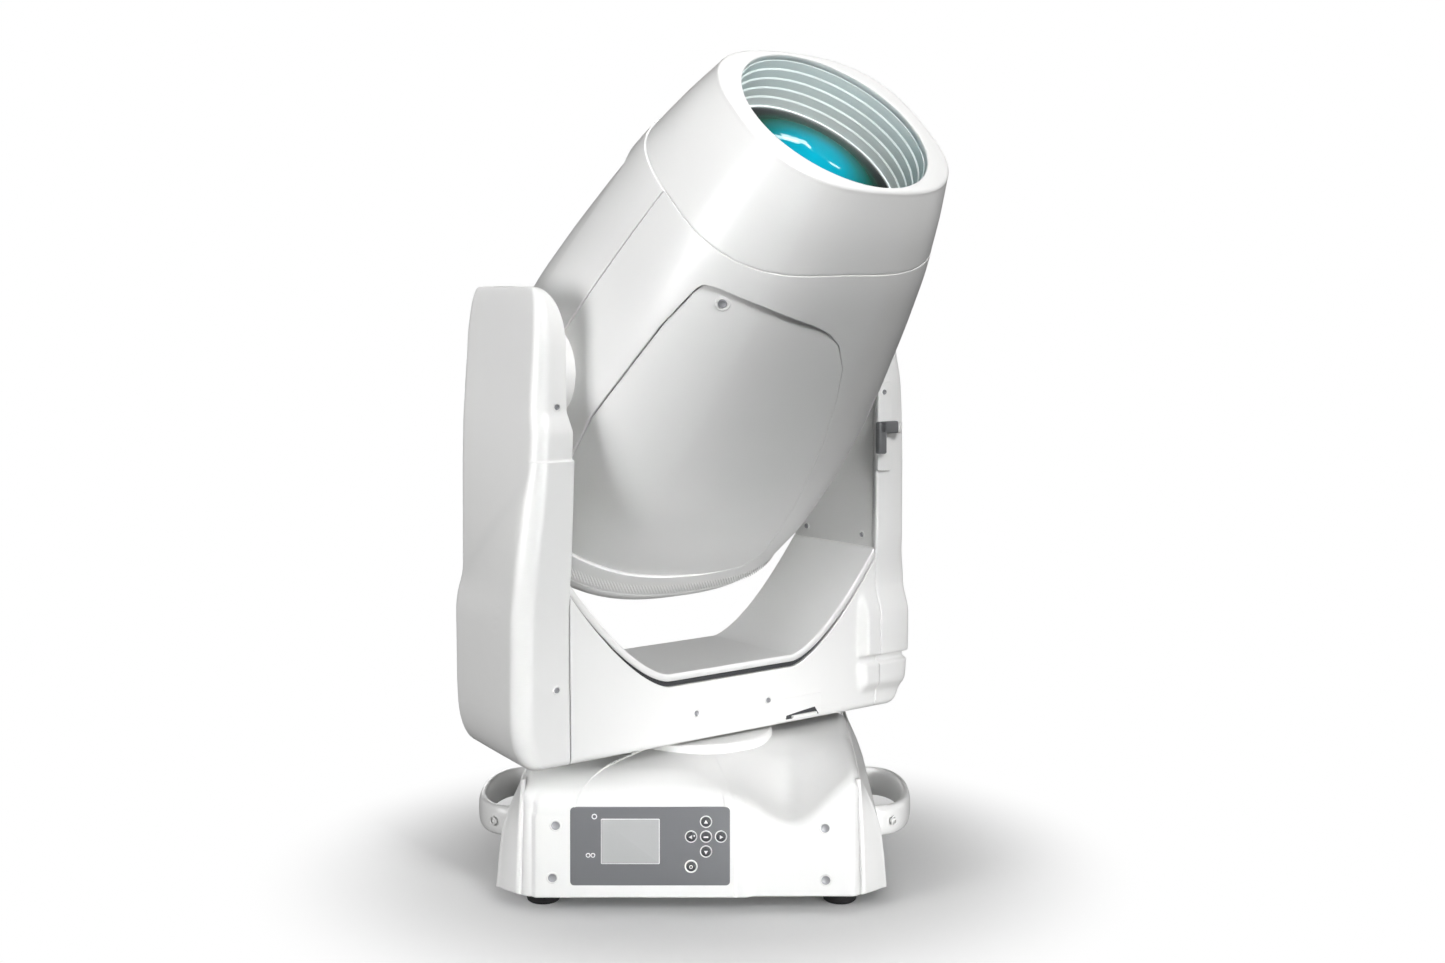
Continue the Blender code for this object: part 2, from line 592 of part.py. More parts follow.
def main():
    """Build the light from the ground up."""
    build_base_shells()
    build_display()
    build_base_inside()
    yoke = bpy.data.objects.new("pan_axis", None)
    yoke.rotation_euler = Euler((0, 0, PAN_REST))
    head = bpy.data.objects.new("tilt_axis", None)
    head.location = (0, 0, TILT_HEIGHT)
    head.rotation_euler = Euler((TILT_REST, 0, 0))
    head.parent = yoke
    PARTS.objects.link(yoke)
    PARTS.objects.link(head)
    build_yoke_frame(yoke)
    build_cross_bar(yoke)
    build_tilt_drive(yoke)
    build_pan_drive(yoke)
    build_locks(yoke)
    build_head_shells(head)
    build_optics(head)
    build_head_inside(head)
    for side, sign in (("left", -1), ("right", 1)):
        build_side(side, sign)
        build_arm(yoke, side, sign)
        build_hub(head, side, sign)


clear_scene()
PARTS = new_collection("moving_head_light")
CUTTERS = new_collection("cutters")
main()
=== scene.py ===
"""Looks for the moving head light: its covers, lens, display, fasteners and finishes, round the CAD frame."""
import json
import logging
import math
from dataclasses import dataclass, field
from enum import Enum
from typing import Callable, Sequence

import bmesh
import bpy
import numpy as np
from mathutils import Euler, Matrix, Vector


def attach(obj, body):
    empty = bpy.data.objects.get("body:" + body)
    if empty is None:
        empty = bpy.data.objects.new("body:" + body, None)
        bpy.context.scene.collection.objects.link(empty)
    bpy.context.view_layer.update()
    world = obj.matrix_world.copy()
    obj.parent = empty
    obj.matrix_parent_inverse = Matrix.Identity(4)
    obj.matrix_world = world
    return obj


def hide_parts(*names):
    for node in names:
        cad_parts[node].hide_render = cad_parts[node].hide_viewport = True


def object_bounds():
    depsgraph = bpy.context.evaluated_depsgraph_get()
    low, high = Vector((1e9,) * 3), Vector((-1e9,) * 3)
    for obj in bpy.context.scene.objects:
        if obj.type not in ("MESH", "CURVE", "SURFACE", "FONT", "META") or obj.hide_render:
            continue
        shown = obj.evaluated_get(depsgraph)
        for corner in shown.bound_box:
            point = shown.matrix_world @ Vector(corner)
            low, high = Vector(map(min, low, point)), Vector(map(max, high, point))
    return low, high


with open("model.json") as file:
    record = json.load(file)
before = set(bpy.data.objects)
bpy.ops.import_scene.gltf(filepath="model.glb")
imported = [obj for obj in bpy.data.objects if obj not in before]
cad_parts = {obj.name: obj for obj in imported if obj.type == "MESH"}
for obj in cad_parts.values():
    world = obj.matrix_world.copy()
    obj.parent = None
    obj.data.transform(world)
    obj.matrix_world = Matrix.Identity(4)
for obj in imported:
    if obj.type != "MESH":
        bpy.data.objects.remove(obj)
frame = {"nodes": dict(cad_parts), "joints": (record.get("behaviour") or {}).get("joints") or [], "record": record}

CAD_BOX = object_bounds()
LOG = logging.getLogger("moving_head_light")

Rows = np.ndarray
Profile = Sequence[tuple[float, float]]


# ---------------------------------------------------------------- places taken from the frame

def joint(name: str) -> dict:
    """Find one joint of the frame.

    Args:
        name: The joint's name.
    Returns:
        The joint's own entry, with its axis and place.
    """
    return next(entry for entry in frame["joints"] if entry["name"] == name)


TILT = joint("tilt")
TILT_HEIGHT = TILT["pos_m"][2]
YOKE_FRAME = Matrix.Rotation(math.atan2(TILT["axis"][1], TILT["axis"][0]), 4, "Z")
TILT_REST = math.acos(joint("focus")["axis"][2])
HEAD_FRAME = YOKE_FRAME @ Matrix.Translation((0, 0, TILT_HEIGHT)) @ Matrix.Rotation(TILT_REST, 4, "X")
BASE_FRAME = Matrix.Identity(4)
FLOOR_LEVEL = CAD_BOX[0][2]

# The base's front and rear faces lean inwards about a line at their foot.
FACE_Y = 0.1755
FACE_FOOT = 0.001
FACE_LEAN = math.radians(4.8)
FRONT_FACE = Matrix.Translation((0, -FACE_Y, FACE_FOOT)) @ Matrix.Rotation(-FACE_LEAN, 4, "X")
REAR_FACE = Matrix.Translation((0, FACE_Y, FACE_FOOT)) @ Matrix.Rotation(FACE_LEAN, 4, "X") \
    @ Matrix.Rotation(math.pi, 4, "Z")


# ---------------------------------------------------------------- finishes

def linear(hex_colour: str) -> tuple[float, float, float, float]:
    """Turn an sRGB hex colour into linear RGBA.

    Args:
        hex_colour: The colour, as "#RRGGBB".
    Returns:
        The colour's four linear values.
    """
    channels = [int(hex_colour[i:i + 2], 16) / 255 for i in (1, 3, 5)]
    low = [c / 12.92 if c <= 0.04045 else ((c + 0.055) / 1.055) ** 2.4 for c in channels]
    return (low[0], low[1], low[2], 1.0)


def add_node(tree: bpy.types.NodeTree, kind: str, links: dict | None = None, **settings) -> bpy.types.Node:
    """Add a node with its settings and links.

    Args:
        tree: The node tree.
        kind: The node's type name.
        links: Input name or index to an output socket or a plain value.
        settings: Properties of the node itself.
    Returns:
        The new node.
    """
    node = tree.nodes.new(kind)
    for key, value in settings.items():
        setattr(node, key, value)
    for key, value in (links or {}).items():
        if isinstance(value, bpy.types.NodeSocket):
            tree.links.new(value, node.inputs[key])
        else:
            node.inputs[key].default_value = value
    return node


def fill_ramp(ramp: bpy.types.Node, stops: Sequence[tuple[float, Sequence[float]]]) -> None:
    """Give a colour ramp its stops.

    Args:
        ramp: The ramp's node.
        stops: Place and linear RGBA of each stop, from left to right.
    """
    elements = ramp.color_ramp.elements
    while len(elements) < len(stops):
        elements.new(0.5)
    for element, (share, colour) in zip(elements, stops):
        element.position = share
        element.color = colour


@dataclass(frozen=True)
class Finish:
    """One surface finish, from what the material is and how it was made.

    The grain is a fine bump and the mottle is how far the colour drifts over a few centimetres.
    """

    name: str
    colour: str
    roughness: float
    metallic: float = 0.0
    grain_mm: float = 1.4
    grain_depth: float = 0.04
    mottle: float = 0.02
    coat: float = 0.0
    specular: float = 0.5
    stretch: tuple[float, float, float] = (1.0, 1.0, 1.0)

    def shader(self, material: bpy.types.Material) -> bpy.types.Node:
        """Set the uniform values of the material's Principled shader and return it."""
        shader = material.node_tree.nodes["Principled BSDF"]
        shader.inputs["Metallic"].default_value = self.metallic
        shader.inputs["Coat Weight"].default_value = self.coat
        shader.inputs["Coat Roughness"].default_value = 0.12
        shader.inputs["Specular IOR Level"].default_value = self.specular
        return shader

    def colour_socket(self, tree: bpy.types.NodeTree, where: bpy.types.NodeSocket) -> bpy.types.NodeSocket:
        """Colour that drifts a little with the place.

        Args:
            tree: The material's tree.
            where: The socket with the place on the object.
        Returns:
            The colour output.
        """
        drift = add_node(tree, "ShaderNodeTexNoise", {"Vector": where, "Scale": 14.0, "Detail": 3.0})
        light = linear(self.colour)
        dark = tuple(c * (1 - 2 * self.mottle) for c in light[:3]) + (1.0,)
        mix = add_node(tree, "ShaderNodeMix", {"Factor": drift.outputs["Fac"]}, data_type="RGBA")
        mix.inputs[6].default_value = dark
        mix.inputs[7].default_value = light
        return mix.outputs[2]

    def material(self) -> bpy.types.Material:
        """Build the material, or return it if it has been built."""
        found = bpy.data.materials.get(self.name)
        if found:
            return found
        material = bpy.data.materials.new(self.name)
        material.use_nodes = True
        tree = material.node_tree
        shader = self.shader(material)
        spot = add_node(tree, "ShaderNodeTexCoord").outputs["Object"]
        where = add_node(tree, "ShaderNodeMapping", {"Vector": spot, "Scale": self.stretch}).outputs[0]
        tree.links.new(self.colour_socket(tree, where), shader.inputs["Base Color"])
        grain = add_node(tree, "ShaderNodeTexNoise", {"Vector": where, "Scale": 1000 / self.grain_mm, "Detail": 2.0})
        rough = add_node(tree, "ShaderNodeMapRange", {"Value": grain.outputs["Fac"], "To Min": self.roughness - 0.04,
                                                      "To Max": self.roughness + 0.04})
        tree.links.new(rough.outputs[0], shader.inputs["Roughness"])
        bump = add_node(tree, "ShaderNodeBump", {"Height": grain.outputs["Fac"], "Strength": self.grain_depth,
                                                 "Distance": 0.0004})
        tree.links.new(bump.outputs[0], shader.inputs["Normal"])
        return material


@dataclass(frozen=True)
class LensCoating(Finish):
    """Coated glass: blue-green in the middle, through green to a nearly black edge."""

    radius: float = 0.0965
    ior: float = 1.22
    mirror: float = 0.30
    inner_bend: float = 1.5
    inner_lean: float = 0.16
    stops: tuple[tuple[float, str], ...] = ((0.0, "#00A6C2"), (0.34, "#0095AC"), (0.54, "#006C6E"),
                                            (0.70, "#024234"), (0.82, "#081A16"), (0.88, "#0A0A0C"))

    @staticmethod
    def head_place(tree: bpy.types.NodeTree) -> bpy.types.NodeSocket:
        """The place on the object, turned into the head's own frame."""
        spot = add_node(tree, "ShaderNodeTexCoord").outputs["Object"]
        return add_node(tree, "ShaderNodeMapping",
                        {"Vector": spot, "Location": HEAD_FRAME.translation, "Rotation": HEAD_FRAME.to_euler()},
                        vector_type="TEXTURE").outputs[0]

    def colour_socket(self, tree: bpy.types.NodeTree, where: bpy.types.NodeSocket) -> bpy.types.NodeSocket:
        """Colour by the distance from the beam's axis.

        Args:
            tree: The material's tree.
            where: Unused, since the rings follow the head's own frame.
        Returns:
            The colour output.
        """
        flat = add_node(tree, "ShaderNodeVectorMath", {0: self.head_place(tree), 1: (1.0, 1.0, 0.0)},
                        operation="MULTIPLY")
        far = add_node(tree, "ShaderNodeVectorMath", {0: flat.outputs[0]}, operation="LENGTH")
        share = add_node(tree, "ShaderNodeMath", {0: far.outputs["Value"], 1: self.radius}, operation="DIVIDE")
        ramp = add_node(tree, "ShaderNodeValToRGB", {"Fac": share.outputs[0]})
        fill_ramp(ramp, [(place_of, linear(colour)) for place_of, colour in self.stops])
        return ramp.outputs[0]

    def material(self) -> bpy.types.Material:
        """Add the faint mirror of the lens's inner face, which leans a little from the dome outside."""
        made = self.name in bpy.data.materials
        material = super().material()
        if made:
            return material
        tree = material.node_tree
        shader = tree.nodes["Principled BSDF"]
        shader.inputs["IOR"].default_value = self.ior
        shader.inputs["Coat Weight"].default_value = self.mirror
        shader.inputs["Coat Roughness"].default_value = 0.004
        bend = (self.inner_bend, self.inner_bend, 0.0)
        lean = add_node(tree, "ShaderNodeVectorMath",
                        {0: self.head_place(tree), 1: bend, 2: (0.0, -self.inner_lean, 1.0)}, operation="MULTIPLY_ADD")
        turned = add_node(tree, "ShaderNodeMapping", {"Vector": lean.outputs[0], "Rotation": HEAD_FRAME.to_euler()},
                          vector_type="VECTOR")
        world = add_node(tree, "ShaderNodeVectorTransform", {"Vector": turned.outputs[0]}, vector_type="NORMAL",
                         convert_from="OBJECT", convert_to="WORLD")
        tree.links.new(world.outputs[0], shader.inputs["Coat Normal"])
        return material


# Injection moulded ABS, lightly textured in the tool: a soft satin white with broad, blurred lights.
WHITE = Finish("moulded_white_abs", "#E8E8E7", 0.36, grain_mm=1.6, grain_depth=0.03, mottle=0.01, coat=0.15)
# Spun sheet with a matt paint: pale and chalky, with no mirror lights inside the bore. Its faint blue-green tint is a
# painted reflection of the lens.
BAFFLE = Finish("matt_painted_sheet", "#E2EBEA", 0.60, grain_depth=0.03)
# Turned and painted aluminium lips: slightly brighter lines against the matt bands. This lighter copy of the baffle's
# finish paints the highlights on the step edges and on the lens seat, and carries the same painted blue-green
# reflection of the lens.
SEAT = Finish("painted_aluminium_lip", "#E6EEED", 0.50)
# Printed polyester film over a flat plate: an even grey with a fine dry tooth.
PANEL = Finish("printed_polyester_film", "#737477", 0.42, grain_mm=0.9, grain_depth=0.10, mottle=0.03)
# Polished acrylic over an unlit screen: flat pale grey under a clear gloss.
SCREEN = Finish("clear_acrylic_window", "#B4B5B5", 0.12, grain_mm=0.8, grain_depth=0.01, mottle=0.02, coat=0.6)
# Domed polyurethane resin: dark, with one small sharp light on each dome.
DOME = Finish("domed_dark_resin", "#4B4C4F", 0.22, coat=0.5)
# Screen-printed ink: flat pale marks that stay matt beside the resin.
PRINT = Finish("screen_printed_ink", "#E4E5E5", 0.40)
# Moulded nitrile rubber: nearly black, rough, with hardly any light on it.
RUBBER = Finish("moulded_nitrile_rubber", "#1B1B1C", 0.78, grain_mm=1.0, grain_depth=0.20)
# Die-cast zinc with a sprayed grey coat: a smooth even grey with soft edges.
LEVER = Finish("painted_zinc_casting", "#6E6F71", 0.36, grain_mm=0.9, coat=0.2)
# Zinc-plated pressed steel: cool, bright and slightly blurred.
STEEL = Finish("zinc_plated_steel", "#A9ABAD", 0.34, metallic=1.0)
# Die-cast aluminium as it leaves the tool: pale metal with a dull, uneven skin.
ALUMINIUM = Finish("die_cast_aluminium", "#C6C8CA", 0.42, metallic=1.0, grain_depth=0.08)
# Passivated screw heads deep in white cups: small mid-grey discs.
SCREW_STEEL = Finish("passivated_screw_steel", "#9C9DA0", 0.42, metallic=0.35)
# Stoved black enamel: dark and semi-matt.
ENAMEL = Finish("black_stoving_enamel", "#26272A", 0.40)
# Moulded toothed belt: black, dry and dull.
BELT = Finish("toothed_belt_rubber", "#202021", 0.80, grain_depth=0.15)
# Painted shadow: a dark sheet at the back of the grooves and in the pan lock's slot stands in for the shade there, so
# that a seam reads as a dark line.
SHADOW = Finish("dark_foam_strip", "#3A3B3D", 0.80)
# Ground glass with a blue-green coating: deep colour, darker towards the edge, small sharp lights.
GLASS = LensCoating("coated_optical_glass", "#13B9CF", 0.06, grain_depth=0.0, specular=0.16)


class Slot(Enum):
    """Material slots of the record, with the finish that each gives its CAD nodes."""

    WHITE_SHELL = WHITE
    PANEL_GREY = PANEL
    DISPLAY_GLASS = SCREEN
    BUTTON_GREY = DOME
    RUBBER_BLACK = RUBBER
    LEVER_GREY = LEVER
    BAFFLE_WHITE = BAFFLE
    LENS_GLASS = GLASS
    STEEL = STEEL
    ALUMINIUM = ALUMINIUM
    MOTOR_BLACK = ENAMEL
    BELT_BLACK = BELT


# ---------------------------------------------------------------- mesh tools

def smoothstep(edge0: float, edge1: float, x: Rows) -> Rows:
    """Rise smoothly from 0 at edge0 to 1 at edge1."""
    t = np.clip((x - edge0) / (edge1 - edge0), 0.0, 1.0)
    return t * t * (3 - 2 * t)


def fillet(distance: Rows, radius: float) -> Rows:
    """How far a rounded edge falls back at a distance from the edge."""
    near = np.clip(radius - distance, 0.0, radius)
    return radius - np.sqrt(np.maximum(radius ** 2 - near ** 2, 0.0))


def spaced(start: float, stop: float, step: float, fine: Sequence[tuple[float, float, float]] = ()) -> Rows:
    """Places from start to stop, closer together near given places.

    Args:
        start: First place.
        stop: Last place.
        step: Usual distance between places.
        fine: (centre, half width, step) of each closer stretch.
    Returns:
        The rising places.
    """
    places = [start]
    while places[-1] < stop - 1e-9:
        here = places[-1]
        pace = step
        for centre, half, small in fine:
            if abs(here - centre) <= half + 1e-9:
                pace = min(pace, small)
            elif here < centre - half:
                pace = min(pace, max(centre - half - here, small))
        places.append(min(here + pace, stop))
    return np.array(places)


def closed_ends(start: float, stop: float, step: float, reach: float = 0.003,
                fine: Sequence[tuple[float, float, float]] = ()) -> Rows:
    """Places with closer steps at both ends, where a panel's edge is rounded."""
    ends = [(start, reach, reach / 5), (stop, reach, reach / 5)]
    return spaced(start, stop, step, ends + list(fine))


def polar(points: Rows, middle: Rows) -> tuple[Rows, Rows]:
    """Angle and distance of flat points from a middle.

    Args:
        points: The points.
        middle: The middle.
    Returns:
        The rising angles, and the distance at each of them.
    """
    away = points - middle
    angle = np.arctan2(away[:, 1], away[:, 0])
    order = np.argsort(angle)
    return angle[order], np.linalg.norm(away, axis=1)[order]


def arc_table(power: float, squash: float, count: int = 4000) -> tuple[Rows, Rows, Rows]:
    """A unit superellipse measured along its length.

    Args:
        power: Its exponent.
        squash: Its depth as a share of its width.
        count: Number of samples.
    Returns:
        Share of the way round, and the matching x and y.
    """
    angle = np.linspace(0, math.tau, count)
    x = np.sign(np.cos(angle)) * np.abs(np.cos(angle)) ** (2 / power)
    y = np.sign(np.sin(angle)) * np.abs(np.sin(angle)) ** (2 / power) * squash
    length = np.concatenate([[0], np.cumsum(np.hypot(np.diff(x), np.diff(y)))])
    return length / length[-1], x, y


def grid_mesh(name: str, rows: Rows, ring: bool = False, loop: bool = False, flip: bool = False) -> bpy.types.Mesh:
    """A mesh of quads through rows of points.

    Args:
        name: The mesh's name.
        rows: Array of shape (rows, columns, 3).
        ring: Whether the last column joins the first.
        loop: Whether the last row joins the first.
        flip: Whether to turn the faces round.
    Returns:
        The mesh.
    """
    count, columns = rows.shape[:2]
    i, j = np.meshgrid(np.arange(count if loop else count - 1), np.arange(columns if ring else columns - 1),
                       indexing="ij")
    below, right = (i + 1) % count, (j + 1) % columns
    faces = np.stack([i * columns + j, i * columns + right, below * columns + right, below * columns + j], -1)
    faces = faces.reshape(-1, 4)
    if flip:
        faces = faces[:, ::-1]
    mesh = bpy.data.meshes.new(name)
    mesh.from_pydata(rows.reshape(-1, 3).tolist(), [], faces.tolist())
    mesh.shade_smooth()
    return mesh


def turned_mesh(name: str, profile: Profile, steps: int = 96) -> bpy.types.Mesh:
    """A closed profile of (radius, height) points spun about Z.

    Args:
        name: The mesh's name.
        profile: The points, clockwise with the radius to the right.
        steps: Number of segments.
    Returns:
        The mesh.
    """
    angle = np.linspace(0, math.tau, steps, endpoint=False)
    points = np.array(profile)
    rows = np.stack([points[:, :1] * np.cos(angle), points[:, :1] * np.sin(angle),
                     np.repeat(points[:, 1:], steps, axis=1)], -1)
    mesh = grid_mesh(name, rows, ring=True, loop=True)
    tidy(mesh)
    mesh.set_sharp_from_angle(angle=math.radians(35))
    return mesh


def merge_doubles(mesh: bpy.types.Mesh, dist: float) -> None:
    """Merge the points of a mesh that lie within a distance of each other."""
    bm = bmesh.new()
    bm.from_mesh(mesh)
    bmesh.ops.remove_doubles(bm, verts=bm.verts, dist=dist)
    bm.to_mesh(mesh)
    bm.free()


def finished_mesh(name: str, bm: bmesh.types.BMesh, sharp: float) -> bpy.types.Mesh:
    """Turn a bmesh into a mesh with smooth faces.

    Args:
        name: The mesh's name.
        bm: The bmesh, which is freed.
        sharp: Angle in degrees past which an edge stays sharp.
    Returns:
        The mesh.
    """
    mesh = bpy.data.meshes.new(name)
    bm.to_mesh(mesh)
    bm.free()
    mesh.shade_smooth()
    mesh.set_sharp_from_angle(angle=math.radians(sharp))
    return mesh


def joined_mesh(name: str, parts: Sequence[bpy.types.Mesh], sharp: float) -> bpy.types.Mesh:
    """Join several meshes into one.

    Args:
        name: The mesh's name.
        parts: The meshes, each in its place.
        sharp: Angle in degrees past which an edge stays sharp.
    Returns:
        The mesh.
    """
    bm = bmesh.new()
    for part in parts:
        bm.from_mesh(part)
    return finished_mesh(name, bm, sharp)


def tidy(mesh: bpy.types.Mesh) -> None:
    """Merge doubles, drop faces without area and turn the rest outwards."""
    bm = bmesh.new()
    bm.from_mesh(mesh)
    bmesh.ops.remove_doubles(bm, verts=bm.verts, dist=1e-6)
    bmesh.ops.dissolve_degenerate(bm, dist=1e-7, edges=bm.edges)
    bmesh.ops.recalc_face_normals(bm, faces=bm.faces)
    bm.to_mesh(mesh)
    bm.free()


def block_mesh(name: str, size: Sequence[float], radius: float, segments: int = 3) -> bpy.types.Mesh:
    """A box with rounded edges.

    Args:
        name: The mesh's name.
        size: Its size along x, y and z.
        radius: Radius of its edges.
        segments: Number of facets in each rounding.
    Returns:
        The mesh.
    """
    bm = bmesh.new()
    bmesh.ops.create_cube(bm, size=1.0)
    bmesh.ops.scale(bm, vec=Vector(size), verts=bm.verts)
    bmesh.ops.bevel(bm, geom=bm.edges[:], offset=radius, segments=segments, profile=0.5, affect="EDGES")
    return finished_mesh(name, bm, 50)


def outline_mesh(name: str, outline: Sequence[tuple[float, float]], depth: float, radius: float) -> bpy.types.Mesh:
    """A flat outline in XZ given a depth along +Y, with its front edge rounded.

    Args:
        name: The mesh's name.
        outline: Points, anticlockwise seen from -Y.
        depth: Thickness.
        radius: Radius of the front edge.
    Returns:
        The mesh.
    """
    bm = bmesh.new()
    front = bm.faces.new([bm.verts.new((x, 0.0, z)) for x, z in outline])
    sides = bmesh.ops.extrude_face_region(bm, geom=[front])
    back = [v for v in sides["geom"] if isinstance(v, bmesh.types.BMVert)]
    bmesh.ops.translate(bm, verts=back, vec=(0, depth, 0))
    bmesh.ops.recalc_face_normals(bm, faces=bm.faces)
    if radius:
        rim = [e for e in bm.edges if all(abs(v.co.y) < 1e-9 for v in e.verts)]
        bmesh.ops.bevel(bm, geom=rim, offset=radius, segments=3, profile=0.5, affect="EDGES")
    return finished_mesh(name, bm, 40)


def rounded_outline(width: float, height: float, radius: float, centre: tuple[float, float] = (0.0, 0.0),
                    steps: int = 6) -> list[tuple[float, float]]:
    """Points of a rectangle with round corners.

    Args:
        width: Its width.
        height: Its height.
        radius: Radius of its corners.
        centre: Its middle.
        steps: Number of steps in each corner.
    Returns:
        The points, anticlockwise.
    """
    points = []
    for quarter, (sx, sz) in enumerate(((1, 1), (-1, 1), (-1, -1), (1, -1))):
        for i in range(steps + 1):
            angle = math.pi / 2 * (quarter + i / steps)
            x = sx * (width / 2 - radius) + radius * math.cos(angle)
            z = sz * (height / 2 - radius) + radius * math.sin(angle)
            points.append((centre[0] + x, centre[1] + z))
    return points


def place(name: str, mesh: bpy.types.Mesh, finish: Finish, body: str, at: Matrix = BASE_FRAME,
          instead: Sequence[str] = (), wall: float = 0.0) -> bpy.types.Object:
    """Put a finished piece in the scene, on its body, with its place in its mesh.

    Args:
        name: The piece's name.
        mesh: Its mesh, in its own frame.
        finish: Its finish.
        body: The body that carries it.
        at: Its frame.
        instead: CAD nodes that it stands for.
        wall: Wall thickness for an open surface, grown inwards.
    Returns:
        The object.
    """
    mesh.name = name
    mesh.transform(at)
    mesh.materials.clear()
    mesh.materials.append(finish.material())
    piece = bpy.data.objects.new(name, mesh)
    bpy.context.scene.collection.objects.link(piece)
    if wall:
        thick = piece.modifiers.new("wall", "SOLIDIFY")
        thick.thickness = wall
        thick.offset = -1.0
    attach(piece, body)
    if instead:
        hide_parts(*instead)
    LOG.info("%s rides on %s", name, body)
    return piece


# ---------------------------------------------------------------- repeats by Geometry Nodes

@dataclass
class Repeat:
    """Copies of one template on a list of spots, made by a Geometry Nodes tree."""

    name: str
    template: bpy.types.Mesh
    finish: Finish
    spots: list[Matrix] = field(default_factory=list)

    def tree(self) -> bpy.types.GeometryNodeTree:
        """Build the tree: instances on points, turned by the points' attribute, then realized."""
        tree = bpy.data.node_groups.new(self.name, "GeometryNodeTree")
        tree.interface.new_socket("Spots", in_out="INPUT", socket_type="NodeSocketGeometry")
        tree.interface.new_socket("Template", in_out="INPUT", socket_type="NodeSocketObject")
        size = tree.interface.new_socket("Size", in_out="INPUT", socket_type="NodeSocketFloat")
        size.default_value = 1.0
        tree.interface.new_socket("Copies", in_out="OUTPUT", socket_type="NodeSocketGeometry")
        given = tree.nodes.new("NodeGroupInput")
        info = add_node(tree, "GeometryNodeObjectInfo", {"Object": given.outputs["Template"]})
        turn = add_node(tree, "GeometryNodeInputNamedAttribute", {"Name": "turn"}, data_type="FLOAT_VECTOR")
        copies = add_node(tree, "GeometryNodeInstanceOnPoints", {
            "Points": given.outputs["Spots"], "Instance": info.outputs["Geometry"],
            "Rotation": turn.outputs["Attribute"], "Scale": given.outputs["Size"]})
        real = add_node(tree, "GeometryNodeRealizeInstances", {"Geometry": copies.outputs["Instances"]})
        dressed = add_node(tree, "GeometryNodeSetMaterial", {"Geometry": real.outputs["Geometry"],
                                                             "Material": self.finish.material()})
        add_node(tree, "NodeGroupOutput", {"Copies": dressed.outputs["Geometry"]})
        return tree

    def build(self, body: str, slot: Slot | None = None, size: float = 1.0,
              instead: Sequence[str] = ()) -> bpy.types.Object:
        """Turn the copies into one plain mesh on a body.

        Args:
            body: The body that carries them.
            slot: The record's material slot; not used.
            size: Scale of the template.
            instead: CAD nodes that they stand for.
        Returns:
            The object.
        """
        points = bpy.data.meshes.new(self.name + "_spots")
        points.from_pydata([tuple(spot.translation) for spot in self.spots], [], [])
        turn = points.attributes.new("turn", "FLOAT_VECTOR", "POINT")
        turn.data.foreach_set("vector", np.ravel([tuple(spot.to_euler()) for spot in self.spots]))
        host = bpy.data.objects.new(self.name + "_host", points)
        mould = bpy.data.objects.new(self.name + "_mould", self.template)
        for helper in (host, mould):
            bpy.context.scene.collection.objects.link(helper)
        tree = self.tree()
        keys = {item.name: item.identifier for item in tree.interface.items_tree if item.in_out == "INPUT"}
        nodes = host.modifiers.new("repeat", "NODES")
        nodes.node_group = tree
        nodes[keys["Template"]] = mould
        nodes[keys["Size"]] = size
        ready = host.evaluated_get(bpy.context.evaluated_depsgraph_get())
        mesh = bpy.data.meshes.new_from_object(ready)
        for helper in (host, mould):
            bpy.data.objects.remove(helper, do_unlink=True)
        return place(self.name, mesh, self.finish, body, instead=instead)


def facing(at: Matrix, spot: Sequence[float], outwards: Sequence[float]) -> Matrix:
    """A place in a frame whose own +Z points outwards.

    Args:
        at: The frame.
        spot: The place, in that frame.
        outwards: The direction that +Z takes, in that frame.
    Returns:
        The place as a matrix.
    """
    turn = Vector(outwards).to_track_quat("Z", "Y").to_matrix().to_4x4()
    return at @ Matrix.Translation(spot) @ turn


def screw_template(radius: float = 0.0048) -> bpy.types.Mesh:
    """A pan head screw with a sunk middle, its seat at z = 0.

    Args:
        radius: Radius of its head.
    Returns:
        The mesh.
    """
    bm = bmesh.new()
    head = bmesh.ops.create_cone(bm, cap_ends=True, segments=32, radius1=radius, radius2=radius * 0.82,
                                 depth=0.0016)["verts"]
    bmesh.ops.translate(bm, verts=head, vec=(0, 0, 0.0004))
    top = max(bm.faces, key=lambda f: f.calc_center_median().z)
    bmesh.ops.inset_individual(bm, faces=[top], thickness=radius * 0.40)
    bmesh.ops.translate(bm, verts=top.verts[:], vec=(0, 0, -0.0009))
    return finished_mesh("screw", bm, 30)


def cup_template(radius: float = 0.0056) -> bpy.types.Mesh:
    """The moulded ring round a sunk screw, its seat at z = 0."""
    return turned_mesh("cup", [(radius * 0.66, -0.0004), (radius * 0.70, 0.00025), (radius * 0.86, 0.0006),
                               (radius, 0.0003), (radius * 1.06, -0.0004)], steps=40)


def face_out(mesh: bpy.types.Mesh, centre: Sequence[float]) -> None:
    """Turn an open surface so that its faces point away from a centre."""
    total = sum(face.area * face.normal.dot(face.center - Vector(centre)) for face in mesh.polygons)
    if total < 0:
        mesh.flip_normals()


Surface = Callable[[Rows, Rows, Rows], Rows]


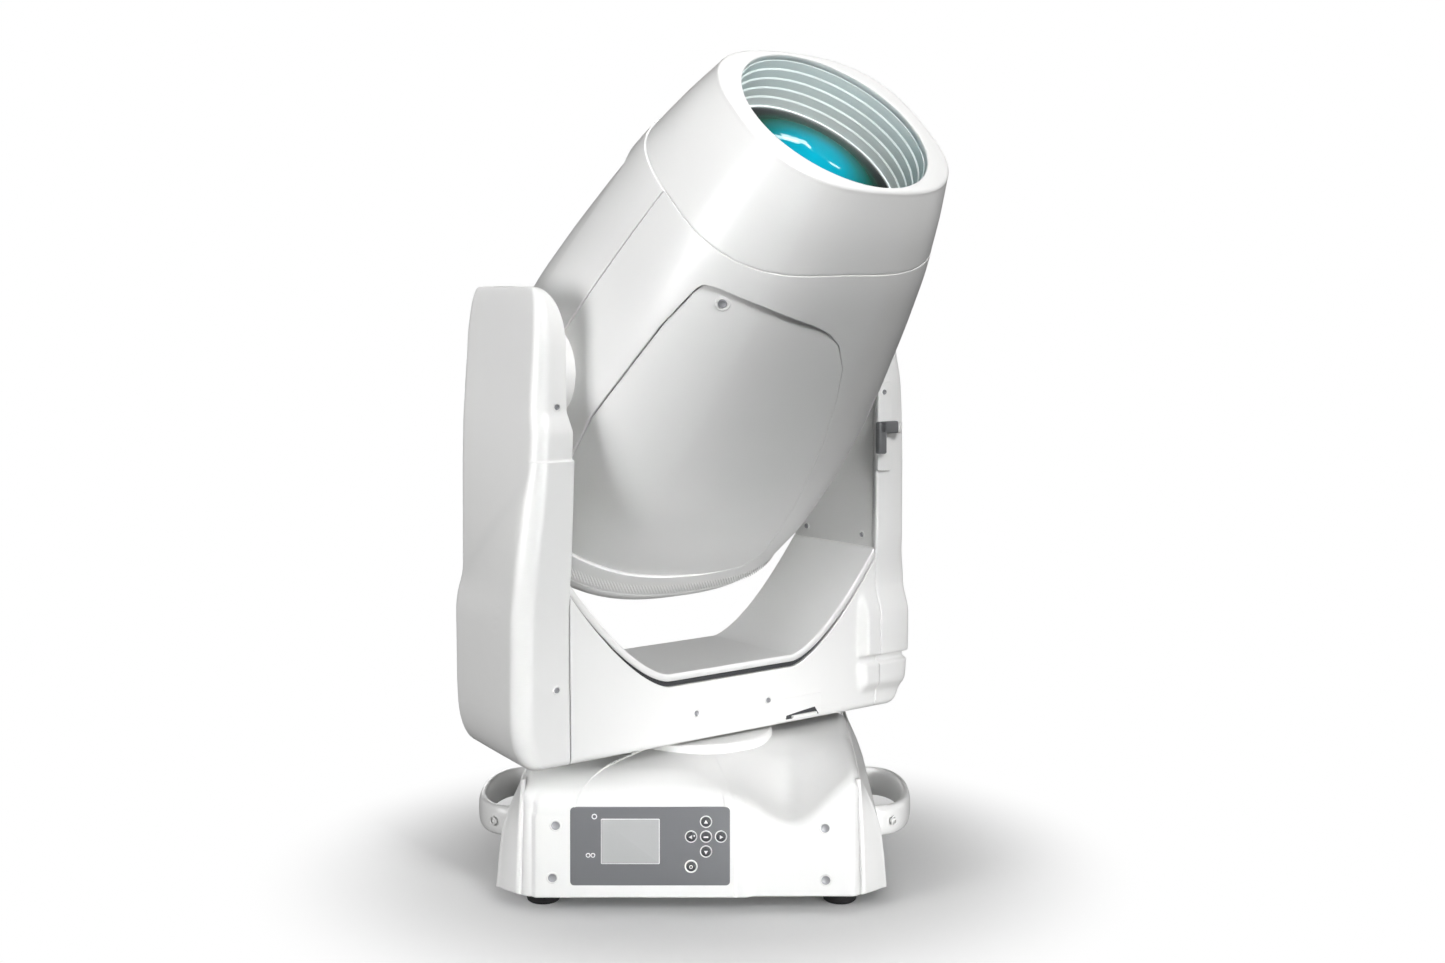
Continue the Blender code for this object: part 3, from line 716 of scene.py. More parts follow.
@dataclass
class Panel:
    """A moulded cover over a surface, between two lines on it, with rounded edges that turn inwards.

    The surface takes two places and a depth below the outer skin. Start and stop hold one pair of places
    for each column, and the rows run between them.
    """

    surface: Surface
    start: Rows
    stop: Rows
    rows: int = 40
    edges: tuple[float, float] = (0.0012, 0.0012)
    side: float = 0.0
    lip: float = 0.004
    ring: bool = False

    def mesh(self, name: str, centre: Sequence[float]) -> bpy.types.Mesh:
        """Make the cover's outer skin.

        Args:
            name: The mesh's name.
            centre: A point inside the cover, which its faces point away from.
        Returns:
            The open mesh, without its wall.
        """
        none = np.zeros(len(self.start))
        first = self.surface(self.start[:, 0], self.start[:, 1], none)
        last = self.surface(self.stop[:, 0], self.stop[:, 1], none)
        length = np.maximum(np.linalg.norm(last - first, axis=1), 1e-6)
        low, high = self.edges
        near = np.array([0.0, 0.12, 0.35, 0.65, 1.0])[:, None]
        head, tail = near * low / length, 1 - near[::-1] * high / length
        body = np.linspace(head[-1], tail[0], self.rows)[1:-1]
        share = np.concatenate([head if low else head[:1], body, tail if high else tail[-1:]])
        depth = np.maximum(fillet(share * length, low), fillet((1 - share) * length, high))
        if self.side:
            middle = (self.start + self.stop) / 2
            line = self.surface(middle[:, 0], middle[:, 1], none)
            run = np.concatenate([[0], np.cumsum(np.linalg.norm(np.diff(line, axis=0), axis=1))])
            depth = np.maximum(depth, fillet(np.minimum(run, run[-1] - run), self.side))
        spots = self.start + share[..., None] * (self.stop - self.start)
        if low:
            spots, depth = np.concatenate([spots[:1], spots]), np.concatenate([depth[:1] + self.lip, depth])
        if high:
            spots, depth = np.concatenate([spots, spots[-1:]]), np.concatenate([depth, depth[-1:] + self.lip])
        if self.side:
            spots = np.concatenate([spots[:, :1], spots, spots[:, -1:]], axis=1)
            depth = np.concatenate([depth[:, :1] + self.lip, depth, depth[:, -1:] + self.lip], axis=1)
        mesh = grid_mesh(name, self.surface(spots[..., 0], spots[..., 1], depth), ring=self.ring)
        merge_doubles(mesh, 1e-7)
        mesh.shade_smooth()
        face_out(mesh, centre)
        return mesh


def lines(columns: Rows, low: float | Rows, high: float | Rows) -> tuple[Rows, Rows]:
    """Start and stop lines of a panel whose columns run across it at the given places."""
    return (np.stack([columns, low + 0 * columns], -1), np.stack([columns, high + 0 * columns], -1))


def flowing(stations: Profile, blur: float) -> Callable[[Rows], Rows]:
    """A smooth curve near a list of (place, value) stations.

    Args:
        stations: The stations, with rising places.
        blur: How far each corner between two stations is rounded.
    Returns:
        The curve as a function.
    """
    place_of, value = np.array(stations).T
    grid = np.linspace(place_of[0] - 5 * blur, place_of[-1] + 5 * blur, 1600)
    line = np.interp(grid, place_of, value)
    slope = np.diff(value) / np.diff(place_of)
    line += np.minimum(grid - place_of[0], 0) * slope[0] + np.maximum(grid - place_of[-1], 0) * slope[-1]
    pace = grid[1] - grid[0]
    reach = np.arange(-int(4 * blur / pace), int(4 * blur / pace) + 1)
    kernel = np.exp(-0.5 * (reach * pace / blur) ** 2)
    smooth = np.convolve(line, kernel / kernel.sum(), mode="same")
    return lambda x: np.interp(x, grid, smooth)


def blended(y: Rows, stations: Sequence[float], values: Sequence[Rows]) -> Rows:
    """A smooth rise through several stations that never passes a station's own value.

    Args:
        y: Places to read.
        stations: Rising places of the stations.
        values: The value at each station, for each place.
    Returns:
        The value at each place, held beyond both ends.
    """
    steps = [b - a for a, b in zip(stations, stations[1:])]
    rises = [(b - a) / h for a, b, h in zip(values, values[1:], steps)]
    slopes = [1.6 * rises[0]]
    for before, after in zip(rises, rises[1:]):
        same = before * after > 0
        slopes.append(np.where(same, 2 * before * after / np.where(same, before + after, 1.0), 0.0))
    slopes.append(0 * rises[-1])
    result = values[0] + 0 * y
    for i, h in enumerate(steps):
        t = np.clip((y - stations[i]) / h, 0, 1)
        piece = ((2 * t ** 3 - 3 * t ** 2 + 1) * values[i] + (t ** 3 - 2 * t ** 2 + t) * h * slopes[i]
                 + (3 * t ** 2 - 2 * t ** 3) * values[i + 1] + (t ** 3 - t ** 2) * h * slopes[i + 1])
        result = np.where(y >= stations[i], piece, result)
    return result


# ---------------------------------------------------------------- head

@dataclass
class Head:
    """The tilting head: hood, two shells with their service covers, rear cap and hub shrouds."""

    power: float = 2.65
    squash: float = 0.887
    front: float = 0.346
    rear_seam: float = -0.195
    end_z: float = -0.2282
    bore: float = 0.103
    grille: float = 0.0665
    slat_pitch: float = 0.0075
    lid_screw: tuple[float, float] = (-0.1280, 0.1980)
    stations: Profile = ((-0.228, 0.1560), (-0.215, 0.1735), (-0.195, 0.1820), (-0.180, 0.1850), (-0.120, 0.1940),
                         (-0.050, 0.1955), (0.030, 0.1900), (0.100, 0.1805), (0.170, 0.1688), (0.235, 0.1560),
                         (0.300, 0.1380), (0.346, 0.1224))
    cover: Profile = ((-0.184, -0.150), (-0.1835, -0.10), (-0.1835, -0.03), (-0.182, 0.01), (-0.172, 0.08),
                      (-0.160, 0.145), (-0.147, 0.196), (-0.143, 0.206), (-0.132, 0.2115), (-0.113, 0.2135),
                      (-0.0885, 0.2120), (-0.066, 0.208), (-0.033, 0.201), (-0.010, 0.192), (0.0095, 0.178),
                      (0.030, 0.1485), (0.043, 0.109), (0.056, 0.05), (0.066, -0.02), (0.072, -0.09),
                      (0.070, -0.135), (0.055, -0.152), (0.00, -0.157), (-0.10, -0.157), (-0.165, -0.155))

    def __post_init__(self) -> None:
        """Measure the ring once."""
        self.table = arc_table(self.power, self.squash)
        self.half = flowing(self.stations, 0.010)

    def ring(self, a: Rows) -> tuple[Rows, Rows, Rows, Rows]:
        """Place and outward direction on the head's unit ring.

        Args:
            a: Shares of the way round.
        Returns:
            x and y of each place, and x and y of the direction outwards.
        """
        share, ux, uy = self.table
        x, y = np.interp(a % 1.0, share, ux), np.interp(a % 1.0, share, uy)
        nx = np.sign(x) * np.abs(x) ** (self.power - 1)
        ny = np.sign(y) * np.abs(y / self.squash) ** (self.power - 1) / self.squash
        size = np.hypot(nx, ny)
        return x, y, nx / size, ny / size

    def skin(self, a: Rows, z: Rows, depth: Rows) -> Rows:
        """Points of the head's skin, or below it.

        Args:
            a: Shares of the way round.
            z: Heights along the beam.
            depth: Distances below the skin.
        Returns:
            The points, in the head's frame.
        """
        x, y, nx, ny = self.ring(a)
        half = self.half(z)
        return np.stack([x * half - nx * depth, y * half - ny * depth, z + 0 * x], -1)

    def share_at(self, x: float, z: float) -> float:
        """Find a spot on the front skin.

        Args:
            x: Its distance from the middle plane.
            z: Its height along the beam.
        Returns:
            Its share of the way round.
        """
        share, ux, _ = self.table
        front = share >= 0.5
        return float(np.interp(x / self.half(np.array(z)), ux[front], share[front]))

    def seam(self, a: Rows) -> Rows:
        """Height of the hood's seam, which climbs from the left side to the right."""
        return 0.2410 + 0.018 * smoothstep(-0.160, -0.010, self.ring(a)[0] * 0.155)

    def hood(self) -> bpy.types.Mesh:
        """Outer wall, flat rim and the mouth of the bore.

        Returns:
            The open mesh, without its wall.
        """
        a = np.linspace(0, 1, 480, endpoint=False)
        seam = self.seam(a) + 0.00015
        rows = [self.skin(a, seam + up, depth + 0 * a) for up, depth in
                ((0, 0.006), (0, 0.0006), (0.0001, 0.0003), (0.0003, 0.0001), (0.0006, 0.0))]
        round_off, top = 0.0045, self.front - 0.0045
        for k in range(1, 37):
            rows.append(self.skin(a, seam + 0.0006 + (top - seam - 0.0006) * k / 36, 0 * a))
        for t in np.linspace(0, math.pi / 2, 7)[1:]:
            row = self.skin(a, top + 0 * a, round_off * (1 - math.cos(t)) + 0 * a)
            row[:, 2] = top + round_off * math.sin(t)
            rows.append(row)
        x, y = rows[-1][:, 0], rows[-1][:, 1]
        angle, level = np.arctan2(y, x), self.front + 0 * x
        lip = 0.0016
        brim = np.stack([x, y, level], -1)
        mouth = np.stack([(self.bore + lip) * np.cos(angle), (self.bore + lip) * np.sin(angle), level], -1)
        rows += [brim + (mouth - brim) * k / 5 for k in range(1, 6)]
        for t in np.linspace(0, math.pi / 2, 5)[1:]:
            r = self.bore + lip * (1 - math.sin(t))
            rows.append(np.stack([r * np.cos(angle), r * np.sin(angle), level - lip * (1 - math.cos(t))], -1))
        rows.append(np.stack([self.bore * np.cos(angle), self.bore * np.sin(angle), level - 0.012], -1))
        return grid_mesh("hood", np.stack(rows), ring=True)

    def outlines(self, reach: float, columns: int = 640) -> tuple[Rows, Rows, Rows]:
        """Matching outlines of a half shell and of its service cover, and the cover's middle.

        Args:
            reach: How far the shell passes the middle plane.
            columns: Number of places on each outline.
        Returns:
            The shell's outline, the cover's outline and the middle, all as (share, height) pairs.
        """
        girth = 1.10
        delta = reach / girth
        cover = np.array([[(self.share_at(x, z) - 0.75) * girth, z] for x, z in self.cover])
        cover = np.concatenate([cover, cover[:1]])
        run = np.concatenate([[0], np.cumsum(np.linalg.norm(np.diff(cover, axis=0), axis=1))])
        dense = np.linspace(0, run[-1], 3000, endpoint=False)
        loop = np.stack([np.interp(dense, run, cover[:, i]) for i in (0, 1)], -1)
        for _ in range(60):
            loop = 0.5 * loop + 0.25 * (np.roll(loop, 1, axis=0) + np.roll(loop, -1, axis=0))
        side = np.linspace(0, 1, 800)
        left, right = (-0.25 - delta) * girth, (0.25 + delta) * girth
        top_a = left + (right - left) * side
        top = np.stack([top_a, self.seam(top_a / girth + 0.75) - 0.00015], -1)
        bottom = np.stack([top_a[::-1], self.rear_seam + 0.0004 + 0 * top_a], -1)
        up = np.stack([left + 0 * side, bottom[-1, 1] + (top[0, 1] - bottom[-1, 1]) * side], -1)
        down = np.stack([right + 0 * side, top[-1, 1] + (bottom[0, 1] - top[-1, 1]) * side], -1)
        frame_loop = np.concatenate([top, down, bottom, up])
        middle = np.array([cover[:-1, 0].mean() * 0.9, 0.03])
        corners = frame_loop[[0, 799, 1600, 2399]]
        picks = loop[:: max(1, len(loop) // columns)]
        angles = np.sort(np.concatenate([polar(picks, middle)[0], polar(corners, middle)[0]]))
        result = []
        for points in (frame_loop, loop):
            angle, far = polar(points, middle)
            reach_at = np.interp(angles, angle, far, period=math.tau)
            spot = middle + reach_at[:, None] * np.stack([np.cos(angles), np.sin(angles)], -1)
            result.append(np.stack([spot[:, 0] / girth + 0.75, spot[:, 1]], -1))
        return result[0], result[1], np.array([middle[0] / girth + 0.75, middle[1]])

    def recess(self, a: Rows, z: Rows) -> Rows:
        """How deep the service cover lies below the shell: deepest on its left, level on its right."""
        x = self.ring(a)[0] * self.half(z)
        return 0.0036 * (1 - smoothstep(-0.07, 0.040, x)) + 0.0001

    def shells(self, side: str) -> None:
        """One half shell with the service cover in its recess.

        Args:
            side: "front" or "rear".
        """
        front = side == "front"
        proud = 0.0004 if front else 0.0018
        outline, cover, middle = self.outlines(0.0087 if front else -0.0093)

        def skin(a: Rows, z: Rows, depth: Rows) -> Rows:
            """The shell's skin, a little proud of the hood's."""
            point = self.skin(a, z, depth - proud)
            return point if front else point * np.array([1, -1, 1])

        def sunk(a: Rows, z: Rows, depth: Rows) -> Rows:
            """The service cover's skin."""
            return skin(a, z, depth + self.recess(a, z))

        shell = Panel(skin, outline, cover, rows=46, edges=(0.0006, 0.0011), lip=0.0055, ring=True)
        place(f"{side}_shell_cover", shell.mesh("shell", (0, 0, 0)), WHITE, "head", HEAD_FRAME,
              (f"head_shell_{side}",), wall=0.0018)
        gap = 0.0003 / np.linalg.norm((cover - middle) * np.array([1.10, 1.0]), axis=1)[:, None]
        lid = Panel(sunk, cover + (middle - cover) * gap, np.repeat(middle[None], len(cover), axis=0), rows=60,
                    edges=(0.0007, 0.0), lip=0.003, ring=True)
        place(f"{side}_service_lid", lid.mesh("lid", (0, 0, 0)), WHITE, "head", HEAD_FRAME,
              (f"service_cover_{side}",), wall=0.0018)
        spots, ribs = [], 110
        for k in range(ribs):
            a = 0.545 + 0.36 * k / (ribs - 1)
            x, y, nx, ny = self.ring(np.array(a))
            half = float(self.half(np.array(-0.176)))
            flip = 1 if front else -1
            out = Vector((float(nx), float(ny) * flip, 0))
            spot = Vector((float(x) * half, float(y) * half * flip, -0.177)) + out * (proud - 0.0002)
            spots.append(HEAD_FRAME @ Matrix.Translation(spot) @ out.to_track_quat("Z", "Y").to_matrix().to_4x4()
                         @ Matrix.Rotation(math.radians(38), 4, "Z"))
        rib = block_mesh("rib", (0.0014, 0.026, 0.0016), 0.0006, 2)
        Repeat(f"{side}_shell_ribs", rib, WHITE, spots).build("head", Slot.WHITE_SHELL)

    def rear_cap(self) -> None:
        """Rear cap with a rounded end, and the grille over the exhaust opening."""
        a = np.linspace(0, 1, 360, endpoint=False)
        levels = [(-0.1958, 0.006), (-0.1958, 0.0011), (-0.1961, 0.0004), (-0.1970, 0.0)]
        levels += [(z, 0.0) for z in np.linspace(-0.199, -0.215, 9)]
        rows = [self.skin(a, z + 0 * a, depth + 0 * a) for z, depth in levels]
        bend = [(0.985, -0.2185), (0.962, -0.2220), (0.935, -0.2245), (0.90, -0.2264), (0.86, -0.2274),
                (0.80, -0.2280)] + [(scale, self.end_z) for scale in (0.65, 0.50, 0.35, 0.20, 0.05, 0.0)]
        rows += [np.array([scale, scale, 0]) * self.skin(a, -0.215 + 0 * a, 0 * a) + np.array([0, 0, z])
                 for scale, z in bend]
        mesh = grid_mesh("cap", np.stack(rows), ring=True)
        tidy(mesh)
        mesh.shade_smooth()
        face_out(mesh, (0, 0, 0))
        place("rear_end_cap", mesh, WHITE, "head", HEAD_FRAME, ("rear_cap",), wall=0.002)
        end = HEAD_FRAME @ Matrix.Translation((0, 0, self.end_z)) @ Matrix.Rotation(math.pi, 4, "X")
        ring = [(0.0660, -0.0006), (0.0665, 0.0012), (0.0690, 0.0018), (0.0725, 0.0012), (0.0735, -0.0006)]
        place("grille_rim", turned_mesh("rim", ring), WHITE, "head", end)
        floor = [(0.0, -0.0004), (0.0, 0.0003), (0.0660, 0.0003), (0.0660, -0.0004)]
        place("grille_shadow", turned_mesh("shadow", floor), ENAMEL, "head", end)
        slat = block_mesh("slat", (1.0, 0.0030, 0.0016), 0.0006, 2)
        slats = []
        for y in (k * self.slat_pitch for k in range(-8, 9)):
            length = 2 * math.sqrt(self.grille ** 2 - y ** 2)
            slats.append(slat.copy())
            slats[-1].transform(Matrix.Translation((0, y, 0.0010)) @ Matrix.Diagonal((length, 1, 1, 1)))
        place("grille_slats", joined_mesh("slats", slats, 40), WHITE, "head", end)
        spots = [facing(end, (x, y, 0.0), (0, 0, 1)) for x in (-0.125, 0.125) for y in (-0.09, 0.09)]
        Repeat("rear_cap_screws", screw_template(), SCREW_STEEL, spots).build("head")

    def shrouds(self) -> None:
        """White collars round the tilt hubs, between the head and the arms."""
        profile = [(0.0215, 0.2104), (0.0400, 0.2104), (0.0440, 0.2092), (0.0462, 0.2060), (0.0475, 0.1990),
                   (0.0500, 0.1860), (0.0500, 0.1780), (0.0215, 0.1780)]
        for side, sign in (("left", -1), ("right", 1)):
            turn = HEAD_FRAME @ Matrix.Rotation(sign * math.pi / 2, 4, "Y")
            place(f"hub_shroud_{side}", turned_mesh("shroud", profile), WHITE, "head", turn)

    def screws(self) -> None:
        """The sunk screw at the top corner of each service cover, and its moulded ring."""
        cups, heads = [], []
        a, z = np.array(self.share_at(*self.lid_screw)), np.array(self.lid_screw[1])
        point = self.skin(a, z, self.recess(a, z) - 0.0008)
        _, _, nx, ny = self.ring(a)
        for flip in (1, -1):
            out = Vector((float(nx), float(ny) * flip, 0.24))
            spot = Vector((float(point[0]), float(point[1]) * flip, float(point[2])))
            cups.append(facing(HEAD_FRAME, spot, out))
            heads.append(facing(HEAD_FRAME, spot - out.normalized() * 0.0003, out))
        Repeat("service_screw_cups", cup_template(0.0072), WHITE, cups).build("head", Slot.WHITE_SHELL)
        Repeat("service_screws", screw_template(0.0046), SCREW_STEEL, heads).build("head")

    def build(self) -> None:
        """Build the whole head."""
        place("lens_hood", self.hood(), WHITE, "head", HEAD_FRAME, ("hood",), wall=0.0022)
        self.shells("front")
        self.shells("rear")
        self.rear_cap()
        self.shrouds()
        self.screws()


@dataclass
class Optics:
    """What shows in the bore: the stepped baffle, the lens and the ring that holds it."""

    bore: float = 0.103
    throat: float = 0.0985
    mouth_z: float = 0.3450
    back_z: float = 0.2845
    bands: int = 5
    lens: float = 0.0965
    edge_z: float = 0.2840
    apex_z: float = 0.2995

    def baffle(self) -> None:
        """Bands that widen towards the mouth, with a small round step between each two."""
        height = (self.mouth_z - 0.006 - self.back_z) / self.bands
        widen = (self.bore - 0.0006 - self.throat) / (self.bands - 1)
        profile = [(self.bore + 0.0005, self.mouth_z - 0.006), (self.bore + 0.0005, self.back_z)]
        for i in range(self.bands):
            low, radius = self.back_z + i * height, self.throat + i * widen
            high = low + height
            profile += [(radius + 0.0002, low), (radius, high - 0.0012), (radius + 0.0001, high - 0.0004),
                        (radius + 0.0005, high)]
        place("bore_baffle", turned_mesh("baffle", profile, 144), BAFFLE, "head", HEAD_FRAME,
              ("baffle_tube",))
        for i in range(1, self.bands):
            low, radius = self.back_z + i * height, self.throat + i * widen
            ring = [(radius + 0.0001, low - 0.0009), (radius - 0.0003, low - 0.0006), (radius - 0.0004, low),
                    (radius - 0.0003, low + 0.0006), (radius + 0.0002, low + 0.0009)]
            # Painted highlight: each step ring takes the lighter lip finish so that its edge reads as a light line; the
            # raised lip is real and catches some light itself.
            place(f"baffle_step_{i}", turned_mesh("step", ring, 144), SEAT, "head", HEAD_FRAME)

    def glass(self) -> None:
        """The domed lens and its white seat."""
        rise = self.apex_z - self.edge_z
        rim = self.lens - 0.0008
        sphere = (rim ** 2 + rise ** 2) / (2 * rise)
        radii = np.linspace(0, rim, 40)
        profile = [(float(r), self.apex_z - sphere + math.sqrt(sphere ** 2 - r ** 2)) for r in radii]
        profile += [(self.lens, self.edge_z - 0.0006), (self.lens, self.edge_z - 0.010), (0.0, self.edge_z - 0.010)]
        place("front_glass", turned_mesh("glass", profile, 144), GLASS, "head", HEAD_FRAME,
              ("front_lens",))
        seat = [(self.lens + 0.0001, self.edge_z - 0.004), (self.lens + 0.0002, self.edge_z + 0.0006),
                (self.throat + 0.0010, self.edge_z + 0.0010), (self.throat + 0.0010, self.edge_z - 0.004)]
        # Painted highlight: the seat takes the lighter lip finish so that it reads as a light ring round the lens.
        place("lens_seat", turned_mesh("seat", seat, 144), SEAT, "head", HEAD_FRAME)

    def build(self) -> None:
        """Build the optics."""
        self.baffle()
        self.glass()


# ---------------------------------------------------------------- yoke

@dataclass
class Yoke:
    """The U-shaped yoke: cross bar, floor, two arms with inner covers, screws and lock details."""

    seam_u: float = 0.2107
    inner: float = 0.2113
    front: float = -0.069
    rear: float = 0.078
    bottom: float = 0.1435
    top: float = 0.633
    lip_top: float = 0.2085
    floor_top: float = 0.222
    u_flat: float = 0.085
    u_steep: float = 2.54
    u_power: float = 1.51
    crown_z: float = 0.575
    side_front: Profile = ((0.1435, 0.2700), (0.170, 0.2725), (0.230, 0.2712), (0.300, 0.2695), (0.360, 0.2650),
                           (0.420, 0.2560), (0.500, 0.2490), (0.575, 0.2440), (0.633, 0.2410))
    side_rear: Profile = ((0.1435, 0.2575), (0.200, 0.2580), (0.215, 0.2588), (0.300, 0.2588), (0.330, 0.2525),
                          (0.450, 0.2518), (0.500, 0.2500), (0.575, 0.2435), (0.633, 0.2410))
    proud: Profile = ((0.1435, 0.0), (0.300, 0.0), (0.355, 0.0032), (0.420, 0.0056), (0.4585, 0.0068),
                      (0.4600, 0.0048), (0.488, 0.0058), (0.508, 0.0), (0.633, 0.0))

    def __post_init__(self) -> None:
        """Smooth the stations once."""
        self.half_front = flowing(self.side_front, 0.012)
        self.half_rear = flowing(self.side_rear, 0.006)

    def curve(self, base: float, u: Rows) -> Rows:
        """Height of the U at a distance from its middle."""
        return base + self.u_steep * np.maximum(0.0, np.abs(u) - self.u_flat) ** self.u_power

    def bumps(self, u: Rows, z: Rows) -> Rows:
        """Two raised pads on the right end of the front face."""
        width = smoothstep(0.181, 0.194, u)
        upper = smoothstep(0.2045, 0.2085, z) * (1 - smoothstep(0.252, 0.290, z))
        lower = smoothstep(0.160, 0.176, z) * (1 - smoothstep(0.1965, 0.2000, z))
        return width * (0.0098 * upper + 0.0076 * lower)

    def cross(self) -> None:
        """Front and rear panels, the floor between the arms and the dark sheets of painted shadow in the grooves."""
        u = closed_ends(-self.seam_u, self.seam_u, 0.0030, 0.002, ((0.197, 0.016, 0.0015),))
        low, high = lines(u, self.bottom + 0.0002, self.curve(self.lip_top, u))
        for side, face, sign in (("front", self.front, 1), ("rear", self.rear, -1)):
            def skin(a: Rows, z: Rows, depth: Rows) -> Rows:
                """The panel's skin: the bumps are on the front only."""
                raised = self.bumps(a, z) if sign > 0 else 0
                return np.stack([a, face + sign * (depth - raised) + 0 * z, z], -1)
            wall = Panel(skin, low, high, rows=70, edges=(0.0070, 0.0010), side=0.0005, lip=0.004)
            place(f"yoke_{side}_panel", wall.mesh("wall", (0, 0.004, 0.2)), WHITE, "yoke", YOKE_FRAME,
                  (f"cross_panel_{side}",), wall=0.002)
        v0, v1 = self.front + 0.0012, self.rear - 0.0012

        def floor(v: Rows, a: Rows, depth: Rows) -> Rows:
            """The floor's skin over the U."""
            beyond = np.maximum(0.0, np.abs(a) - self.u_flat)
            rise = self.u_steep * self.u_power * beyond ** (self.u_power - 1) * np.sign(a)
            size = np.hypot(rise, 1)
            return np.stack([a + depth * rise / size, v, self.curve(self.floor_top, a) - depth / size], -1)
        v = closed_ends(v0, v1, 0.004, 0.002)
        start, stop = lines(v, -self.seam_u + 0.0003, self.seam_u - 0.0003)
        deck = Panel(floor, start, stop, rows=150, edges=(0.0, 0.0), side=0.0012, lip=0.0064)
        place("yoke_floor", deck.mesh("deck", (0, 0.004, 0.10)), WHITE, "yoke", YOKE_FRAME,
              ("cross_floor",), wall=0.002)
        for side, spot in (("front", self.front + 0.0045), ("rear", self.rear - 0.0045)):
            start, stop = lines(np.array([self.lip_top - 0.006, self.floor_top - 0.004]), -0.209, 0.209)

            def groove(height: Rows, a: Rows, depth: Rows) -> Rows:
                """The back of the groove, under the floor's rim, where a dark sheet paints the groove's shadow."""
                return np.stack([a, spot + 0 * a, self.curve(height, a)], -1)
            # Painted shadow: a dark sheet stands in for the shade at the back of the groove under the floor's rim.
            seal = Panel(groove, start, stop, rows=120, edges=(0.0, 0.0))
            place(f"groove_seal_{side}", seal.mesh("seal", (0, 0.004, 0.2)), SHADOW, "yoke", YOKE_FRAME, wall=0.001)
        u = closed_ends(-self.seam_u, self.seam_u, 0.012, 0.002)
        start, stop = lines(u, self.front + 0.0068, self.rear - 0.0068)

        def under(a: Rows, v: Rows, depth: Rows) -> Rows:
            """The flat underside."""
            return np.stack([a, v, self.bottom + depth], -1)
        base = Panel(under, start, stop, rows=30, edges=(0.0, 0.0))
        mesh = base.mesh("under", (0, 0, 0.3))
        bm = bmesh.new()
        bm.from_mesh(mesh)
        inside = [f for f in bm.faces if math.hypot(*f.calc_center_median()[:2]) < 0.040]
        bmesh.ops.delete(bm, geom=inside, context="FACES")
        bm.to_mesh(mesh)
        bm.free()
        place("yoke_underside", mesh, WHITE, "yoke", YOKE_FRAME, wall=0.0015)

    def section(self, z: float, sign: int) -> Rows:
        """One level of an arm's outer cover, from its rear inner lip round to its front inner lip.

        Args:
            z: Height of the level.
            sign: -1 for the left arm and 1 for the right one.
        Returns:
            The points, in the yoke's frame.
        """
        up = np.clip((z - self.crown_z) / (self.top - self.crown_z), 0, 1)
        crown = 1 - math.sqrt(max(0.0, 1 - up ** 2))
        down = np.clip((0.205 - z) / (0.205 - self.bottom), 0, 1)
        foot = 1 - math.sqrt(max(0.0, 1 - down ** 2.4))
        toe = np.clip((0.1505 - z) / 0.0070, 0, 1)
        edge = 0.0070 * (1 - math.sqrt(max(0.0, 1 - toe ** 2)))
        level = np.array(z)
        place_z, amount = np.array(self.proud).T
        out = float(np.interp(z, place_z, amount))
        if sign > 0:
            out = 0.0052 * float(smoothstep(0.300, 0.345, level) * (1 - smoothstep(0.520, 0.570, level)))
        near = self.inner + 0.0240 * crown
        half_front = self.half_front if sign < 0 else self.half_rear
        far_front = float(half_front(level)) - 0.0030 * crown - 0.020 * foot
        far_rear = float(self.half_rear(level)) + 0.0020 - 0.0030 * crown - 0.034 * foot
        front, rear = self.front - out + 0.022 * crown + edge, self.rear - 0.026 * crown - edge
        room = 0.46 * (min(far_front, far_rear) - near)
        corners = [((near, rear), min(0.0040, room)), ((far_rear, rear), min(0.013, room)),
                   ((far_front, front), min(0.017 if sign < 0 else 0.009, room)),
                   ((near - 0.72 * out, front), min(0.0028, room))]
        lip = 0.006
        path = [(near, rear - lip)]
        spots = [np.array((near, rear - 0.030))] + [np.array(p) for p, _ in corners] + [np.array((near, front + 0.030))]
        for i, (_, radius) in enumerate(corners, 1):
            before = spots[i - 1] - spots[i]
            after = spots[i + 1] - spots[i]
            before, after = before / np.linalg.norm(before), after / np.linalg.norm(after)
            turn = math.acos(float(np.clip(-before @ after, -1, 1)))
            cut = radius * math.tan(turn / 2)
            centre = spots[i] + (before + after) / np.linalg.norm(before + after) * radius / math.cos(turn / 2)
            first = spots[i] + before * cut - centre
            count = 14 if i in (2, 3) else 5
            for k in range(count + 1):
                angle = -turn * k / count
                c, s = math.cos(angle), math.sin(angle)
                path.append(tuple(centre + np.array((c * first[0] - s * first[1], s * first[0] + c * first[1]))))
            if i == 2:
                here, back = np.array(path[-1]), spots[2] - spots[3]
                there = spots[3] + back / np.linalg.norm(back) * (corners[2][1] + 0.001)
                path += [tuple(here + (there - here) * k / 24) for k in range(1, 24)]
        path.append((near, max(front, self.front) + lip))
        return np.array([(u * sign, v, z) for u, v in path])

